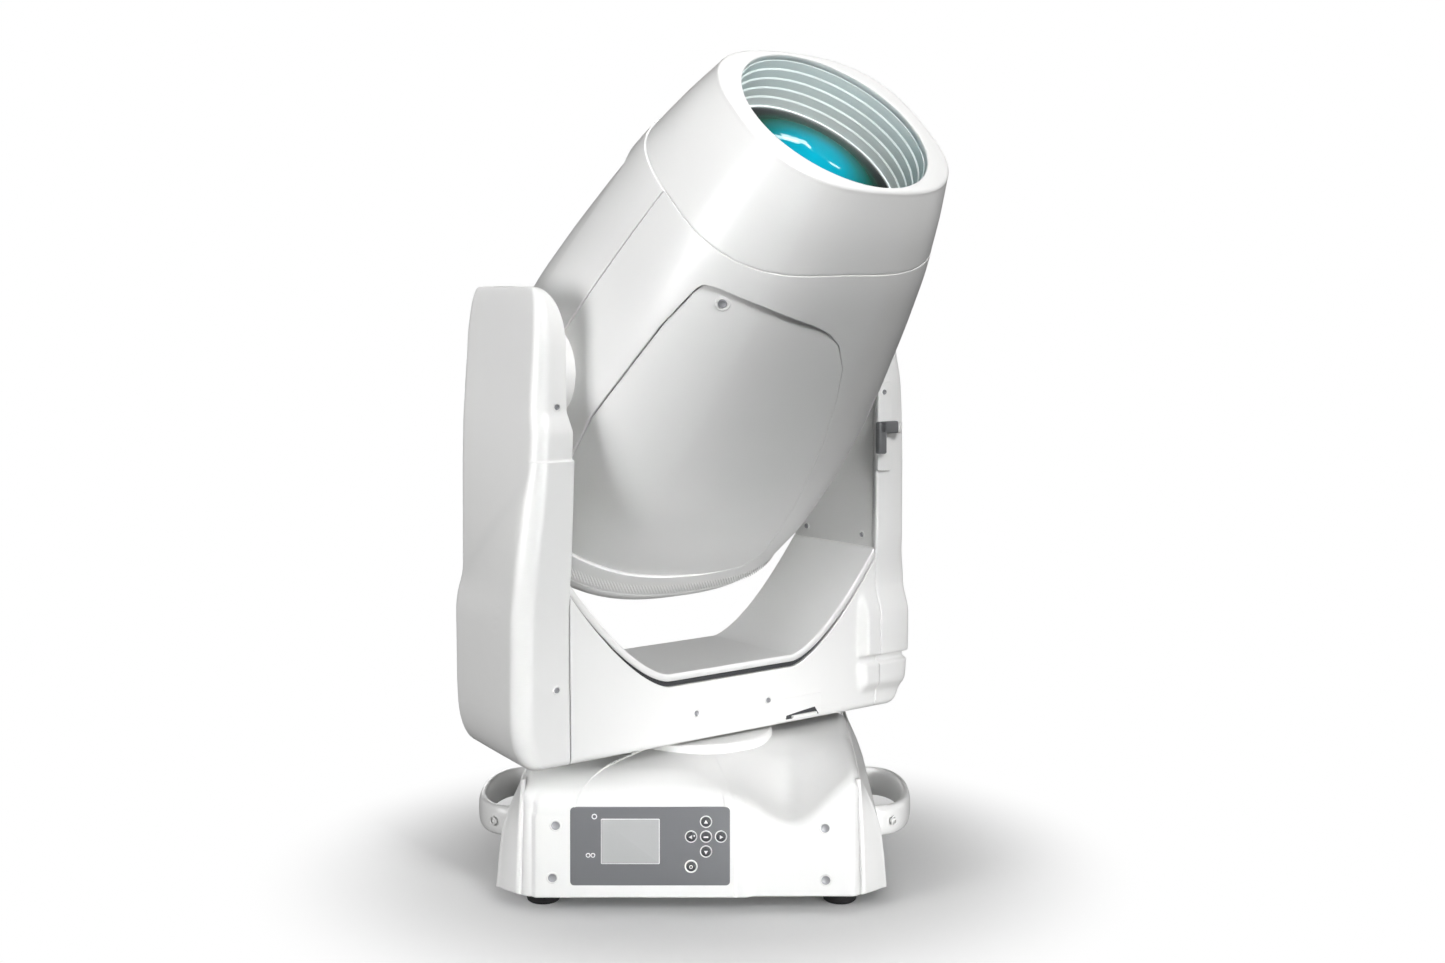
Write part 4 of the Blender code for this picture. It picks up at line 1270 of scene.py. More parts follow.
    def arm(self, side: str, sign: int) -> None:
        """One arm's outer cover, inner cover and screws.

        Args:
            side: "left" or "right".
            sign: -1 or 1.
        """
        fine = ((self.bottom, 0.012, 0.0012), (0.459, 0.003, 0.0006), (0.205, 0.012, 0.0015),
                (0.300, 0.02, 0.002), (self.top, 0.02, 0.0012))
        heights = spaced(self.bottom, self.top, 0.0045, fine)
        rows = np.stack([self.section(float(z), sign) for z in heights])
        u, v, z = rows[..., 0].copy(), rows[..., 1].copy(), rows[..., 2]
        along = (self.rear - v) / (self.rear - self.front)
        outer = smoothstep(0.236, 0.250, np.abs(u)) * smoothstep(self.front - 0.008, self.front + 0.020, v)
        crease = 0.335 + 0.125 * along
        bulge = (1 - smoothstep(crease - 0.030, crease, z)) * outer
        sweep = 0.195 + 0.235 * along ** 2.2
        line = np.exp(-((z - sweep) / 0.0016) ** 2) * smoothstep(0.05, 0.15, along) * outer
        u += sign * (0.0030 * bulge - 0.0007 * line)
        if sign > 0:
            v = v - self.bumps(np.abs(u), z) * (1 - smoothstep(self.front + 0.002, self.front + 0.05, v))
        rows = np.stack([u, v, z], -1)
        top = rows[-1]
        middle = top.mean(axis=0)
        caps = [middle + (top - middle) * k + np.array([0, 0, 0.0004 * (1 - k)]) for k in (0.9, 0.6, 0.3, 0.0)]
        low = rows[0]
        centre = low.mean(axis=0)
        feet = [centre + (low - centre) * k for k in (0.0, 0.4, 0.8)]
        rows = np.concatenate([np.stack(feet), rows, np.stack(caps)])
        mesh = grid_mesh("arm", rows)
        merge_doubles(mesh, 1e-6)
        mesh.shade_smooth()
        face_out(mesh, (sign * 0.232, 0.004, 0.38))
        place(f"{side}_arm_shell", mesh, WHITE, "yoke", YOKE_FRAME, (f"arm_cover_{side}",),
              wall=0.002)

        def skin(v: Rows, z: Rows, depth: Rows) -> Rows:
            """The inner cover's skin, following the arm's crown."""
            up = np.clip((z - self.crown_z) / (self.top - self.crown_z), 0, 1)
            crown = 1 - np.sqrt(np.maximum(0.0, 1 - up ** 2))
            return np.stack([sign * (self.inner - 0.0002 + 0.024 * crown + depth), v, z + 0 * v], -1)
        v = closed_ends(self.front + 0.0063, self.rear - 0.0063, 0.004, 0.002)
        rise = np.clip((0.0682 - np.abs(v - 0.0045)) / 0.023, 0, 1)
        start, stop = lines(v, 0.305, np.minimum(0.575 + 0.058 * np.sqrt(1 - (1 - rise) ** 2), 0.6324))
        inner = Panel(skin, start, stop, rows=80, edges=(0.0008, 0.0008), side=0.0008, lip=0.002)
        place(f"{side}_arm_inner_cover", inner.mesh("inner", (sign * 0.25, 0, 0.45)), WHITE, "yoke", YOKE_FRAME,
              (f"arm_inner_{side}",), wall=0.0015)

    def screws(self) -> None:
        """Sunk screws of the covers, and their moulded rings."""
        spots = [(sign * 0.224, self.front - 0.0003, 0.513, 0, -1, 0) for sign in (-1, 1)]
        spots += [(-0.228, self.front - 0.0003, 0.225, 0, -1, 0), (0.2265, self.front - 0.0068, 0.232, 0, -1, 0)]
        spots += [(sign * 0.050, self.front - 0.0003, 0.175, 0, -1, 0) for sign in (-1, 1)]
        spots += [(sign * 0.228, self.rear + 0.0003, z, 0, 1, 0) for sign in (-1, 1) for z in (0.225, 0.513)]
        spots += [(sign * 0.050, self.rear + 0.0003, 0.175, 0, 1, 0) for sign in (-1, 1)]
        spots += [(sign * (self.inner - 0.0005), v, z, -sign, 0, 0) for sign in (-1, 1) for v in (-0.045, 0.054)
                  for z in (0.345, 0.545)]
        places = [facing(YOKE_FRAME, spot[:3], spot[3:]) for spot in spots]
        Repeat("yoke_screw_cups", cup_template(0.0046), WHITE, places).build("yoke", Slot.WHITE_SHELL)
        Repeat("yoke_screws", screw_template(0.0030), SCREW_STEEL, places).build("yoke")

    def locks(self) -> None:
        """The tilt lock's lever and plate, and the pan lock's latch, plate and slot."""
        face = self.front - 0.0003
        plate = rounded_outline(0.0205, 0.103, 0.003, (0.2160, 0.4735))
        place("tilt_lock_plate", outline_mesh("plate", plate, 0.0030, 0.0004), WHITE, "yoke",
              YOKE_FRAME @ Matrix.Translation((0, self.front - 0.0088, 0)))
        spots = [facing(YOKE_FRAME, (0.2145, self.front - 0.0090, 0.5130), (0, -1, 0))]
        Repeat("tilt_plate_screw", screw_template(0.0030), SCREW_STEEL, spots).build("yoke")
        arms = []
        for size, u, z in (((0.0300, 0.0085, 0.0140), 0.2140, 0.4727), ((0.0115, 0.0085, 0.037), 0.2048, 0.4612)):
            arms.append(block_mesh("part", size, 0.0022))
            arms[-1].transform(Matrix.Translation((u, self.front - 0.0148, z)))
        place("lock_lever", joined_mesh("lever", arms, 50), LEVER, "tilt_lock_lever", YOKE_FRAME,
              ("tilt_lock_lever",))
        knob = block_mesh("knob", (0.0060, 0.0095, 0.0142), 0.0024)
        place("lever_end_cap", knob, WHITE, "tilt_lock_lever",
              YOKE_FRAME @ Matrix.Translation((0.2314, self.front - 0.0148, 0.4727)))
        plate = rounded_outline(0.064, 0.0225, 0.0015, (0.096, 0.1620))
        place("pan_lock_plate", outline_mesh("plate", plate, 0.0012, 0.0003), WHITE, "yoke",
              YOKE_FRAME @ Matrix.Translation((0, self.front - 0.0005, 0)))
        # Painted shadow: the slot is a flat dark sheet that stands in for the shade inside it.
        slot = [(0.0760, 0.1492), (0.1240, 0.1492), (0.1180, 0.1580), (0.0980, 0.1560), (0.0760, 0.1535)]
        place("pan_lock_slot", outline_mesh("slot", slot, 0.0012, 0.0), SHADOW, "yoke",
              YOKE_FRAME @ Matrix.Translation((0, self.front - 0.0008, 0)))
        latch = block_mesh("latch", (0.036, 0.0045, 0.0035), 0.0012)
        place("lock_latch", latch, WHITE, "pan_lock_latch",
              YOKE_FRAME @ Matrix.Translation((0.1010, face - 0.0022, 0.1512)), ("pan_lock_latch",))

    def build(self) -> None:
        """Build the whole yoke."""
        self.cross()
        self.arm("left", -1)
        self.arm("right", 1)
        self.screws()
        self.locks()


# ---------------------------------------------------------------- base

@dataclass
class Base:
    """The base: sculpted top cover, two side covers with handles, screws, feet and the collar round the pan bearing."""

    half_x: float = 0.1785
    half_y: float = FACE_Y
    bottom: float = 0.002
    top: float = 0.1325
    taper: float = 0.02
    collar: float = 0.0845
    lean: float = FACE_LEAN
    corner: float = 0.012
    shoulder: float = 0.014
    brow: Profile = ((-0.180, 0.1080), (-0.165, 0.1050), (-0.150, 0.1010), (0.050, 0.1010), (0.066, 0.0940),
                     (0.084, 0.0760), (0.098, 0.0690), (0.112, 0.0700), (0.126, 0.0800), (0.145, 0.0980),
                     (0.165, 0.1120), (0.180, 0.1160))
    slope: Profile = ((-0.180, 0.1330), (-0.150, 0.1290), (-0.010, 0.1260), (0.040, 0.1170), (0.070, 0.1040),
                      (0.090, 0.0900), (0.108, 0.0860), (0.120, 0.0940), (0.138, 0.1130), (0.160, 0.1310),
                      (0.180, 0.1360))
    crest: Profile = ((-0.180, 0.1360), (-0.150, 0.1340), (-0.020, 0.1325), (0.050, 0.1310), (0.085, 0.1250),
                      (0.108, 0.1210), (0.125, 0.1250), (0.145, 0.1340), (0.180, 0.1370))

    def roof(self, x: Rows, y: Rows) -> Rows:
        """Height of the top cover: a swell over the display, a valley beside it and a lobe on the right.

        Args:
            x: Places to the right of the middle.
            y: Places behind the middle.
        Returns:
            The heights.
        """
        lines_x = [flowing(stations, 0.007)(x) for stations in (self.brow, self.slope, self.crest)]
        front = blended(y, (-0.176, -0.128, -0.060, 0.0), lines_x + [self.top + 0 * x])
        back = self.top - 0.026 * smoothstep(0.09, 0.178, y)
        mix = smoothstep(-0.02, 0.06, y)
        return front * (1 - mix) + back * mix

    def swelling(self, x: Rows, z: Rows) -> Rows:
        """How far the display housing stands proud of the front face.

        Args:
            x: Places to the right of the middle.
            z: Heights.
        Returns:
            The distances, less the pocket behind the display's plate.
        """
        across = np.abs(x + 0.051) - 0.0975
        up = z - 0.0840
        far = np.hypot(np.maximum(across, 0), np.maximum(up, 0)) + np.minimum(np.maximum(across, up), 0)
        inside = np.maximum(np.abs(x + 0.042) - 0.079, np.abs(z - 0.0542) - 0.0367)
        return 0.0040 * (1 - smoothstep(0.0120, 0.0175, far)) - 0.0032 * (1 - smoothstep(-0.0030, 0.0, inside))

    def walls(self, t: Rows) -> tuple[Rows, Rows]:
        """The outline at the bottom.

        Args:
            t: Shares of the way round.
        Returns:
            x and y of each place.
        """
        hx, hy, r = self.half_x, self.half_y, self.corner
        arcs = [2 * (hy - r), math.pi / 2 * r, 2 * (hx - r), math.pi / 2 * r] * 2
        ends = np.concatenate([[0], np.cumsum(arcs)])
        far = (t % 1.0) * ends[-1]
        x, y = np.zeros_like(t), np.zeros_like(t)
        spots = ((hx, -(hy - r), 0, 1), (hx - r, hy - r, 0.0, None), (hx - r, hy, -1, 0),
                 (-(hx - r), hy - r, 0.25, None), (-hx, hy - r, 0, -1), (-(hx - r), -(hy - r), 0.5, None),
                 (-(hx - r), -hy, 1, 0), (hx - r, -(hy - r), 0.75, None))
        for i, (sx, sy, dx, dy) in enumerate(spots):
            here = (far >= ends[i]) & (far <= ends[i + 1])
            run = far[here] - ends[i]
            if dy is None:
                angle = math.tau * dx + run / r
                x[here], y[here] = sx + r * np.cos(angle), sy + r * np.sin(angle)
            else:
                x[here], y[here] = sx + dx * run, sy + dy * run
        return x, y

    def cover(self) -> None:
        """The top cover with its walls."""
        t = np.unique(np.concatenate([np.linspace(0, 1, 420, endpoint=False), np.linspace(0.62, 0.90, 420)]))
        x0, y0 = self.walls(t)

        def wall(z: Rows) -> Rows:
            """The wall at a height."""
            x = x0 * (1 - self.taper * z / self.half_x)
            y = y0 * (1 - math.tan(self.lean) * (z - FACE_FOOT) / self.half_y)
            front = (y0 < -0.160) * 1.0
            return np.stack([x, y - front * self.swelling(x, z), z + 0 * x], -1)
        steps = 60
        edge = self.roof(x0, y0) - self.shoulder
        rows = [wall(self.bottom + 0 * x0) * np.array([1 - depth / self.half_x, 1 - depth / self.half_y, 1])
                for depth in (0.006, 0.003)]
        rows += [wall(self.bottom + (edge - self.bottom) * k / steps) for k in range(steps + 1)]
        crest = wall(edge)
        angle = np.arctan2(crest[:, 1], crest[:, 0])
        goal = np.stack([self.collar * np.cos(angle), self.collar * np.sin(angle)], -1)
        length = np.linalg.norm(crest[:, :2] - goal, axis=1)
        reach = self.shoulder * np.array([0.02, 0.1, 0.25, 0.45, 0.7, 1.0])
        for far in reach:
            share = far / length
            xy = crest[:, :2] + (goal - crest[:, :2]) * share[:, None]
            drop = self.shoulder - math.sqrt(max(0.0, self.shoulder ** 2 - (self.shoulder - far) ** 2))
            rows.append(np.column_stack([xy, self.roof(xy[:, 0], xy[:, 1]) - drop]))
        first = reach[-1] / length
        for k in range(1, steps + 1):
            share = first + (1 - first) * k / steps
            xy = crest[:, :2] + (goal - crest[:, :2]) * share[:, None]
            rows.append(np.column_stack([xy, self.roof(xy[:, 0], xy[:, 1])]))
        rows.append(rows[-1] - np.array([0, 0, 0.003]))
        mesh = grid_mesh("cover", np.stack(rows), ring=True)
        face_out(mesh, (0, 0, 0.05))
        place("base_top_cover", mesh, WHITE, "base", BASE_FRAME, ("base_cover",), wall=0.002)

    def side_covers(self) -> None:
        """The wedge-shaped covers on both sides."""
        bulge = flowing(((0.0, 0.0268), (0.035, 0.0245), (0.065, 0.0215), (0.090, 0.0135), (0.108, 0.0058),
                         (0.118, 0.0012), (0.125, 0.0)), 0.005)
        y = spaced(-0.1705, 0.1705, 0.004, ((-0.1705, 0.004, 0.0008), (0.1705, 0.004, 0.0008), (-0.150, 0.008, 0.001),
                                            (0.150, 0.008, 0.001)))
        for side, sign in (("left", -1), ("right", 1)):
            def skin(a: Rows, z: Rows, depth: Rows) -> Rows:
                """The side cover's skin, chamfered towards its ends."""
                end = np.clip((0.1725 - np.abs(a)) / 0.0235, 0, 1)
                soft = np.where(end < 1, end, 1.0) - 0.08 * np.exp(-((end - 1) / 0.25) ** 2) * (end < 1)
                out = self.half_x - self.taper * z + 0.0012 + bulge(z) * soft
                lean = 1 - math.tan(self.lean) * z / self.half_y
                return np.stack([sign * (out - depth), a * lean, z + 0 * a], -1)
            start, stop = lines(y, self.bottom + 0.0005, 0.1225)
            panel = Panel(skin, start, stop, rows=60, edges=(0.0020, 0.0010), side=0.0010, lip=0.004)
            place(f"{side}_side_wedge", panel.mesh("wedge", (0, 0, 0.05)), WHITE, "base", BASE_FRAME,
                  (f"side_cover_{side}",), wall=0.002)

    def handles(self) -> None:
        """The D-shaped carrying handles, moulded with a rounded section and flared roots."""
        steps, around = 72, 28
        for side, sign in (("left", -1), ("right", 1)):
            share = np.linspace(-1, 1, steps)
            angle = share * math.pi / 2
            power = 0.86
            run_x = 0.198 + 0.0385 * np.abs(np.cos(angle)) ** power
            run_y = 0.0800 * np.sign(np.sin(angle)) * np.abs(np.sin(angle)) ** power
            path = np.stack([run_x, run_y], -1)
            path = np.concatenate([[[0.180, path[0, 1]]], path, [[0.180, path[-1, 1]]]])
            heading = np.gradient(path, axis=0)
            heading /= np.linalg.norm(heading, axis=1)[:, None]
            normal = np.stack([heading[:, 1], -heading[:, 0]], -1)
            t = np.linspace(0, math.tau, around, endpoint=False)
            wide = 0.0060 * np.sign(np.cos(t)) * np.abs(np.cos(t)) ** 0.75
            tall = 0.0165 * np.sign(np.sin(t)) * np.abs(np.sin(t)) ** 0.75
            flare = 1 + 0.35 * np.exp(-((path[:, 0] - 0.196) / 0.008) ** 2)
            rows = np.stack([
                sign * (path[:, :1] + normal[:, :1] * wide * flare[:, None]),
                path[:, 1:] + normal[:, 1:] * wide * flare[:, None],
                np.broadcast_to(0.055 + tall, (len(path), around)) + 0 * path[:, :1]], -1)
            mesh = grid_mesh("handle", rows, ring=True)
            tidy(mesh)
            mesh.shade_smooth()
            face_out(mesh, (sign * 0.210, 0, 0.055))
            bm = bmesh.new()
            bm.from_mesh(mesh)
            bmesh.ops.holes_fill(bm, edges=bm.edges)
            bmesh.ops.recalc_face_normals(bm, faces=bm.faces)
            bm.to_mesh(mesh)
            bm.free()
            mesh.shade_smooth()
            place(f"{side}_grip", mesh, WHITE, "base", BASE_FRAME, (f"handle_{side}",))

    def fasteners(self) -> None:
        """Screws of the front and rear faces and of the handles."""
        spots = []
        for x, z in ((-0.140, 0.077), (-0.1435, 0.0226), (0.140, 0.073), (0.1406, 0.0188)):
            out = float(self.swelling(np.array(x), np.array(z)))
            y = self.half_y - math.tan(self.lean) * (z - FACE_FOOT)
            spots.append(facing(BASE_FRAME, (x, -y - out - 0.0002, z), (0, -1, 0.084)))
            spots.append(facing(BASE_FRAME, (x, y + 0.0002, z), (0, 1, 0.084)))
        Repeat("base_screw_cups", cup_template(0.0060), WHITE, spots).build("base", Slot.WHITE_SHELL)
        Repeat("base_screw_heads", screw_template(0.0050), SCREW_STEEL, spots).build("base")
        grips = [facing(BASE_FRAME, (sign * 0.2185, y, 0.055), (sign * 0.75, math.copysign(0.66, y), 0))
                 for sign in (-1, 1) for y in (-0.0826, 0.0826)]
        Repeat("grip_screws", cup_template(0.0050), WHITE, grips).build("base")

    def feet(self) -> None:
        """Round rubber feet with a rounded sole and a pocket in the middle of the sole."""
        profile = [(0.0, 0.0035), (0.0118, 0.0035), (0.0118, 0.0006), (0.0180, 0.0006), (0.0186, -0.0020),
                   (0.0184, -0.0080), (0.0172, -0.0120), (0.0150, -0.0138), (0.0070, -0.0140), (0.0060, -0.0110),
                   (0.0, -0.0110)]
        for row, y in (("front", -0.140), ("rear", 0.140)):
            for side, x in (("left", -0.157), ("right", 0.157)):
                place(f"rubber_foot_{row}_{side}", turned_mesh("foot", profile, 48), RUBBER, "base",
                      Matrix.Translation((x, y, 0)), (f"foot_{row}_{side}",))

    def pan_collar(self) -> None:
        """White collar round the pan bearing, just under the yoke."""
        profile = [(0.0320, 0.1280), (0.0320, 0.1400), (0.0800, 0.1400), (0.0845, 0.1396), (0.0862, 0.1380),
                   (0.0868, 0.1350), (0.0868, 0.1280)]
        place("pan_collar_ring", turned_mesh("collar", profile, 120), WHITE, "base", BASE_FRAME)

    def build(self) -> None:
        """Build the whole base."""
        self.pan_collar()
        self.cover()
        self.side_covers()
        self.handles()
        self.fasteners()
        self.feet()


@dataclass
class Display:
    """The display panel on the front face: plate, window, lamps, buttons and their printed marks."""

    window: tuple[float, float] = (-0.0625, 0.0595)
    centre: tuple[float, float] = (-0.042, 0.0542)
    size: tuple[float, float] = (0.166, 0.0815)
    hub: tuple[float, float] = (0.0161, 0.0645)
    pitch: float = 0.0155
    face: float = -0.0045

    def at(self, x: float, y: float, z: float) -> Matrix:
        """A place in the plane of the display."""
        return FRONT_FACE @ Matrix.Translation((x, y, z))

    def ring_mesh(self, inner: float, outer: float, rise: float = 0.0004) -> bpy.types.Mesh:
        """A flat ring that faces -Y.

        Args:
            inner: Its inner radius.
            outer: Its outer radius.
            rise: Height of its edges over the plate.
        Returns:
            The mesh.
        """
        mesh = turned_mesh("ring", [(inner, -0.0006), (inner, rise), ((inner + outer) / 2, rise * 1.4), (outer, rise),
                                    (outer, -0.0006)], steps=48)
        mesh.transform(Matrix.Rotation(math.pi / 2, 4, "X"))
        return mesh

    def button(self, name: str, across: int, up: int, turn: float | None) -> None:
        """One button: a ring on the plate, a dome on its own body and its printed mark.

        Args:
            name: The button's name.
            across: Steps to the right of the hub.
            up: Steps above the hub.
            turn: Direction of its arrow, or None for a small ring.
        """
        x, z = self.hub[0] + across * self.pitch, self.hub[1] + up * self.pitch
        wide = 0.0064 if name != "battery" else 0.0068
        finish = PRINT if name != "battery" else WHITE
        place(f"ring_{name}", self.ring_mesh(0.0053, wide, 0.0006), finish, "base", self.at(x, self.face, z))
        dome = [(0.0, 0.0030), (0.0026, 0.0029), (0.0042, 0.0025), (0.0049, 0.0018), (0.0051, 0.0010),
                (0.0051, -0.0020), (0.0, -0.0020)]
        mesh = turned_mesh("dome", dome, steps=48)
        mesh.transform(Matrix.Rotation(math.pi / 2, 4, "X"))
        place(f"dome_{name}", mesh, DOME, f"button_{name}", self.at(x, self.face, z),
              (f"button_{name}",))
        if turn is None:
            mark = self.ring_mesh(0.0012, 0.0018) if name == "battery" else \
                outline_mesh("mark", rounded_outline(0.0052, 0.0015, 0.0006), 0.0006, 0.0)
        else:
            points = [(0.0024 * math.cos(turn + k * math.tau / 3), 0.0024 * math.sin(turn + k * math.tau / 3))
                      for k in range(3)]
            mark = outline_mesh("mark", points, 0.0006, 0.0)
        place(f"mark_{name}", mark, PRINT, f"button_{name}", self.at(x, self.face - 0.0033, z))

    def build(self) -> None:
        """Build the display."""
        plate = rounded_outline(*self.size, 0.0042, self.centre, 8)
        place("display_plate", outline_mesh("plate", plate, 0.0040, 0.0005), PANEL, "base",
              self.at(0, self.face, 0), ("display_panel",))
        bezel = rounded_outline(0.0610, 0.0472, 0.0012, self.window)
        place("window_bezel", outline_mesh("bezel", bezel, 0.0012, 0.0003), PRINT, "base",
              self.at(0, self.face - 0.0006, 0))
        window = rounded_outline(0.0594, 0.0456, 0.0008, self.window)
        place("lcd_window", outline_mesh("window", window, 0.0016, 0.0002), SCREEN, "base",
              self.at(0, self.face - 0.0010, 0), ("display_window",))
        for name, across, up, turn in (("enter", 0, 0, None), ("up", 0, 1, math.pi / 2), ("down", 0, -1, -math.pi / 2),
                                       ("left", -1, 0, math.pi), ("right", 1, 0, 0.0), ("battery", -1, -2, None)):
            self.button(name, across, up, turn)
        for name, x, z, r in (("radio", -0.0997, 0.0854, 0.0024), ("data_a", -0.1063, 0.0450, 0.0020),
                              ("data_b", -0.1013, 0.0450, 0.0020)):
            place(f"lamp_ring_{name}", self.ring_mesh(r * 0.75, r * 1.2), PRINT, "base", self.at(x, self.face, z))
            place(f"lamp_{name}", self.ring_mesh(0.0, r * 0.75, 0.0005), LEVER, "base", self.at(x, self.face, z))


@dataclass
class RearFace:
    """The connectors on the rear face: data sockets, fuse and the mains inlet."""

    def build(self) -> None:
        """Build the rear face."""
        plate = rounded_outline(0.230, 0.070, 0.005, (0.0, 0.050))
        place("rear_plate", outline_mesh("plate", plate, 0.0022, 0.0005), PANEL, "base",
              REAR_FACE @ Matrix.Translation((0, -0.0016, 0)))
        socket = turned_mesh("socket", [(0.0082, -0.0006), (0.0082, 0.0010), (0.0090, 0.0032), (0.0108, 0.0036),
                                        (0.0118, 0.0030), (0.0122, -0.0006)], 48)
        pit = turned_mesh("pit", [(0.0, -0.0004), (0.0, 0.0012), (0.0081, 0.0012), (0.0081, -0.0004)], 40)
        spots = [facing(REAR_FACE, (x, -0.0017, 0.050), (0, -1, 0)) for x in (-0.092, -0.062, -0.032, -0.002)]
        Repeat("data_socket_rims", socket, STEEL, spots).build("base")
        Repeat("data_socket_pits", pit, RUBBER, spots).build("base")
        pin = turned_mesh("pin", [(0.0, 0.0), (0.0, 0.0030), (0.0007, 0.0028), (0.0008, 0.0)], 12)
        pins = [spot @ Matrix.Translation((0.0042 * math.cos(turn), 0.0042 * math.sin(turn), 0.0010))
                for spot in spots for turn in (k * 1.05 + 0.5 for k in range(5))]
        Repeat("data_socket_pins", pin, STEEL, pins).build("base")
        screws = [facing(REAR_FACE, (x, -0.0018, z), (0, -1, 0)) for x in (-0.109, 0.109) for z in (0.020, 0.080)]
        Repeat("rear_plate_screws", screw_template(0.0030), SCREW_STEEL, screws).build("base")
        bezel = turned_mesh("bezel", [(0.0100, -0.0004), (0.0100, 0.0020), (0.0130, 0.0026), (0.0140, -0.0004)], 48)
        bezel.transform(facing(REAR_FACE, (0.085, -0.0088, 0.048), (0, -1, 0)))
        place("inlet_rim", bezel, RUBBER, "base")
        cap = turned_mesh("cap", [(0.0, 0.0), (0.0, 0.0070), (0.0040, 0.0070), (0.0065, 0.0062), (0.0070, 0.0)], 40)
        cap.transform(facing(REAR_FACE, (0.045, -0.0017, 0.048), (0, -1, 0)))
        place("fuse_cap", cap, ENAMEL, "base")


# ---------------------------------------------------------------- studio

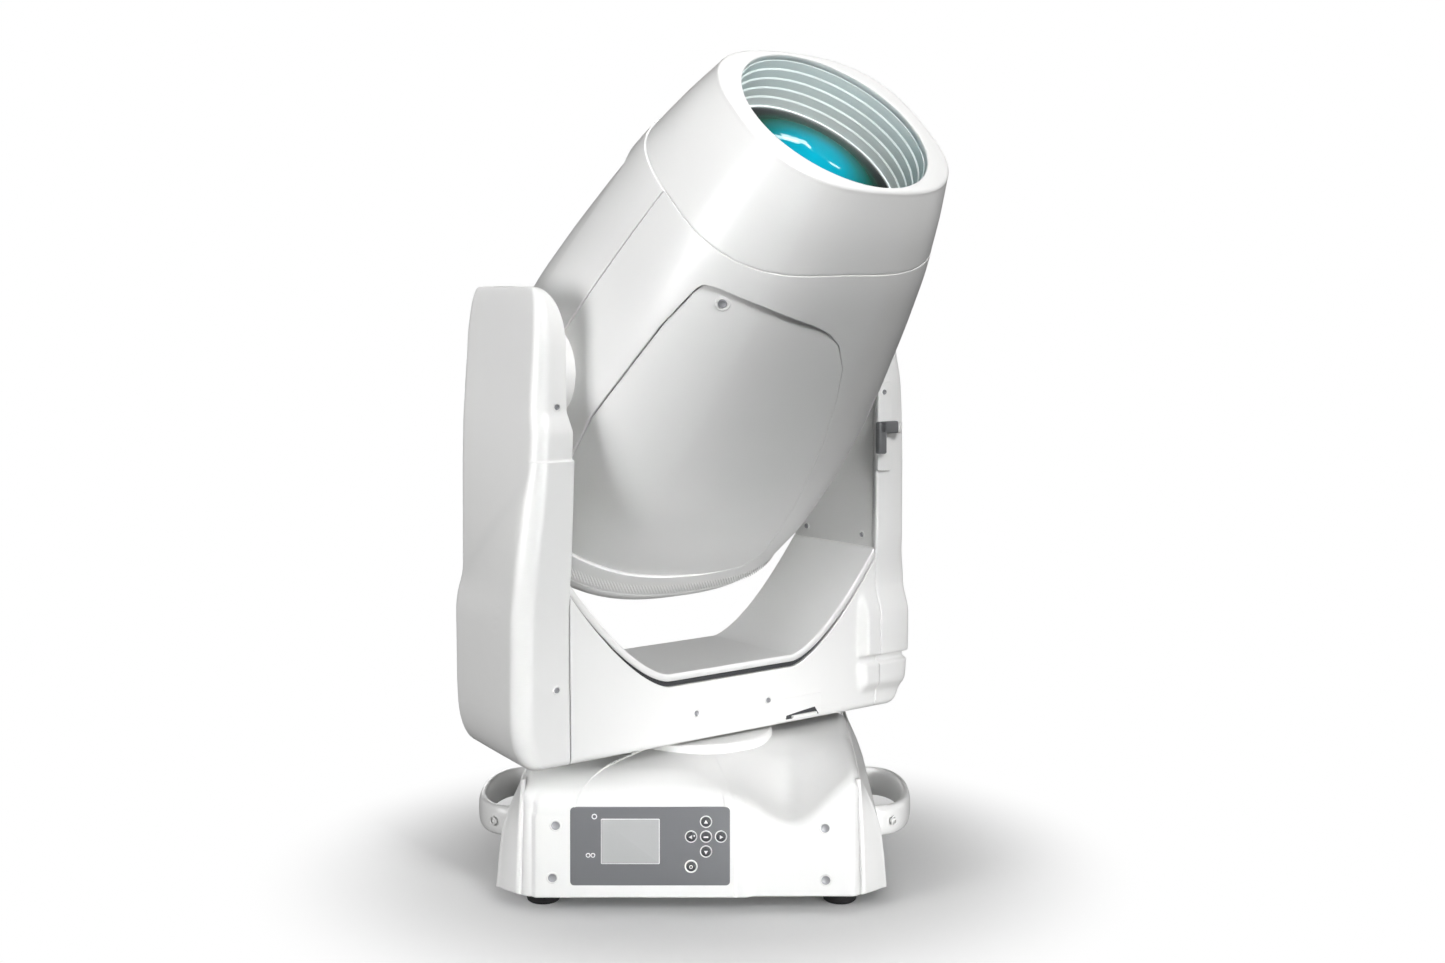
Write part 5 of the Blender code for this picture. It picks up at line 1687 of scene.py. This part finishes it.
@dataclass
class Studio:
    """Camera, pale floor and soft lights."""

    eye: tuple[float, float, float] = (0.059, -2.014, 0.632)
    pitch: float = 0.107
    lens_mm: float = 45.36
    shift: tuple[float, float] = (-0.0172, 0.0012)

    def camera(self) -> None:
        """The camera, in front and a little above the middle."""
        data = bpy.data.cameras.new("camera")
        data.lens, data.sensor_width = self.lens_mm, 36.0
        data.shift_x, data.shift_y = self.shift
        camera = bpy.data.objects.new("camera", data)
        camera.location = self.eye
        camera.rotation_euler = Euler((math.pi / 2 - self.pitch, 0, 0))
        bpy.context.scene.collection.objects.link(camera)
        bpy.context.scene.camera = camera

    def lamp(self, name: str, at: Sequence[float], size: float, power: float, aim: Sequence[float],
             tall: float | None = None, spread: float = 180) -> None:
        """A soft light that points at a spot.

        Args:
            name: The light's name.
            at: Its place.
            size: Its width.
            power: Its power in watts.
            aim: The spot that it points at.
            tall: Its height, if it isn't square.
            spread: The angle of its beam in degrees.
        """
        data = bpy.data.lights.new(name, "AREA")
        data.shape = "RECTANGLE"
        data.size, data.size_y, data.energy = size, tall or size, power
        data.spread = math.radians(spread)
        lamp = bpy.data.objects.new(name, data)
        turn = (Vector(aim) - Vector(at)).to_track_quat("-Z", "Y").to_matrix().to_4x4()
        lamp.matrix_world = Matrix.Translation(at) @ turn
        bpy.context.scene.collection.objects.link(lamp)

    def world(self) -> None:
        """Light from all round, brighter from above than from below."""
        world = bpy.data.worlds.new("studio_air")
        bpy.context.scene.world = world
        world.use_nodes = True
        tree = world.node_tree
        where = add_node(tree, "ShaderNodeTexCoord").outputs["Generated"]
        height = add_node(tree, "ShaderNodeSeparateXYZ", {"Vector": where}).outputs["Z"]
        share = add_node(tree, "ShaderNodeMapRange", {"Value": height, "From Min": -1.0, "From Max": 1.0}).outputs[0]
        ramp = add_node(tree, "ShaderNodeValToRGB", {"Fac": share})
        levels = ((0.0, 0.02), (0.44, 0.03), (0.50, 0.10), (0.62, 0.12), (0.76, 0.11), (1.0, 0.10))
        fill_ramp(ramp, [(height_at, (level, level, level, 1.0)) for height_at, level in levels])
        air = tree.nodes["Background"]
        tree.links.new(ramp.outputs[0], air.inputs["Color"])
        paper = add_node(tree, "ShaderNodeBackground", {"Color": (1.0, 1.0, 1.0, 1.0)})
        seen = add_node(tree, "ShaderNodeLightPath").outputs["Is Camera Ray"]
        mix = add_node(tree, "ShaderNodeMixShader", {0: seen, 1: air.outputs[0], 2: paper.outputs[0]})
        tree.links.new(mix.outputs[0], tree.nodes["World Output"].inputs["Surface"])

    def paper(self) -> bpy.types.Material:
        """The floor's finish: matt, fading to plain white a little way from the light."""
        material = bpy.data.materials.new("matt_white_paper")
        material.use_nodes = True
        tree = material.node_tree
        spot = add_node(tree, "ShaderNodeTexCoord").outputs["Object"]
        far = add_node(tree, "ShaderNodeVectorMath", {0: spot}, operation="LENGTH").outputs["Value"]
        fade = add_node(tree, "ShaderNodeMapRange", {"Value": far, "From Min": 0.18, "From Max": 0.50},
                        interpolation_type="SMOOTHSTEP").outputs[0]
        seen = add_node(tree, "ShaderNodeLightPath").outputs["Is Camera Ray"]
        tone = add_node(tree, "ShaderNodeMapRange", {"Value": seen, "To Min": 0.06, "To Max": 0.97}).outputs[0]
        matt = tree.nodes["Principled BSDF"]
        tree.links.new(tone, matt.inputs["Base Color"])
        matt.inputs["Roughness"].default_value = 0.95
        matt.inputs["Specular IOR Level"].default_value = 0.0
        white = add_node(tree, "ShaderNodeEmission", {"Color": (1.0, 1.0, 1.0, 1.0)}).outputs[0]
        part = add_node(tree, "ShaderNodeMath", {0: fade, 1: seen}, operation="MULTIPLY").outputs[0]
        mix = add_node(tree, "ShaderNodeMixShader", {0: part, 1: matt.outputs[0], 2: white})
        tree.links.new(mix.outputs[0], tree.nodes["Material Output"].inputs["Surface"])
        return material

    def floor(self) -> None:
        """A large pale floor at the height of the feet."""
        mesh = bpy.data.meshes.new("floor")
        side = 30.0
        mesh.from_pydata([(-side, -side, FLOOR_LEVEL), (side, -side, FLOOR_LEVEL), (side, side, FLOOR_LEVEL),
                          (-side, side, FLOOR_LEVEL)], [], [(0, 1, 2, 3)])
        floor = bpy.data.objects.new("floor", mesh)
        mesh.materials.append(self.paper())
        bpy.context.scene.collection.objects.link(floor)

    def build(self) -> None:
        """Set up the studio."""
        self.camera()
        self.world()
        self.floor()
        self.lamp("head_key", (0.85, -1.60, 1.75), 0.6, 2.5, (0.03, -0.12, 0.79), spread=35)
        self.lamp("base_key", (1.30, -2.05, 0.24), 0.7, 1.35, (0.0, 0, 0.06), tall=0.2, spread=26)
        self.lamp("side_light", (-1.55, -1.35, 0.65), 0.9, 24.0, (0, -0.1, 0.5))
        self.lamp("back_light", (-0.7, 2.3, 0.25), 0.8, 9.0, (0, 0, 0.4))
        self.lamp("back_fill", (2.3, 1.0, 0.25), 0.8, 4.0, (0, 0, 0.4))
        for name, spot, size, power in (("pane_left", (0.927, 0.365, 2.046), (0.034, 0.12), 0.35),
                                        ("pane_right", (0.946, 0.409, 2.022), (0.048, 0.13), 0.50),
                                        ("pane_low", (1.006, 0.412, 1.983), (0.034, 0.018), 0.05),
                                        ("pane_far", (1.120, 0.396, 1.899), (0.020, 0.055), 0.10)):
            self.lamp(name, spot, size[0], power, (0.12, -0.155, 0.77), size[1])
        scene = bpy.context.scene
        scene.view_settings.view_transform = "Standard"
        scene.view_settings.look = "None"
        scene.view_settings.exposure = 0.0
        scene.view_settings.gamma = 1.0


def dress_frame() -> None:
    """Give each CAD node that stays in view the finish of its slot."""
    materials = {entry["slot"]: Slot[entry["slot"].upper()].value for entry in frame["record"]["materials"]}
    for node in frame["nodes"].values():
        for held in node.material_slots:
            slot = next((s for s in materials if held.material and held.material.name.startswith(s)), None)
            held.material = materials.get(slot, ALUMINIUM).material()


def main() -> None:
    """Build every sub-assembly in order."""
    logging.basicConfig(level=logging.INFO, format="%(name)s: %(message)s")
    dress_frame()
    Studio().build()
    for assembly in (Head(), Optics(), Yoke(), Base(), Display(), RearFace()):
        assembly.build()
        LOG.info("%s is built", type(assembly).__name__)


if __name__ == "__main__":
    main()
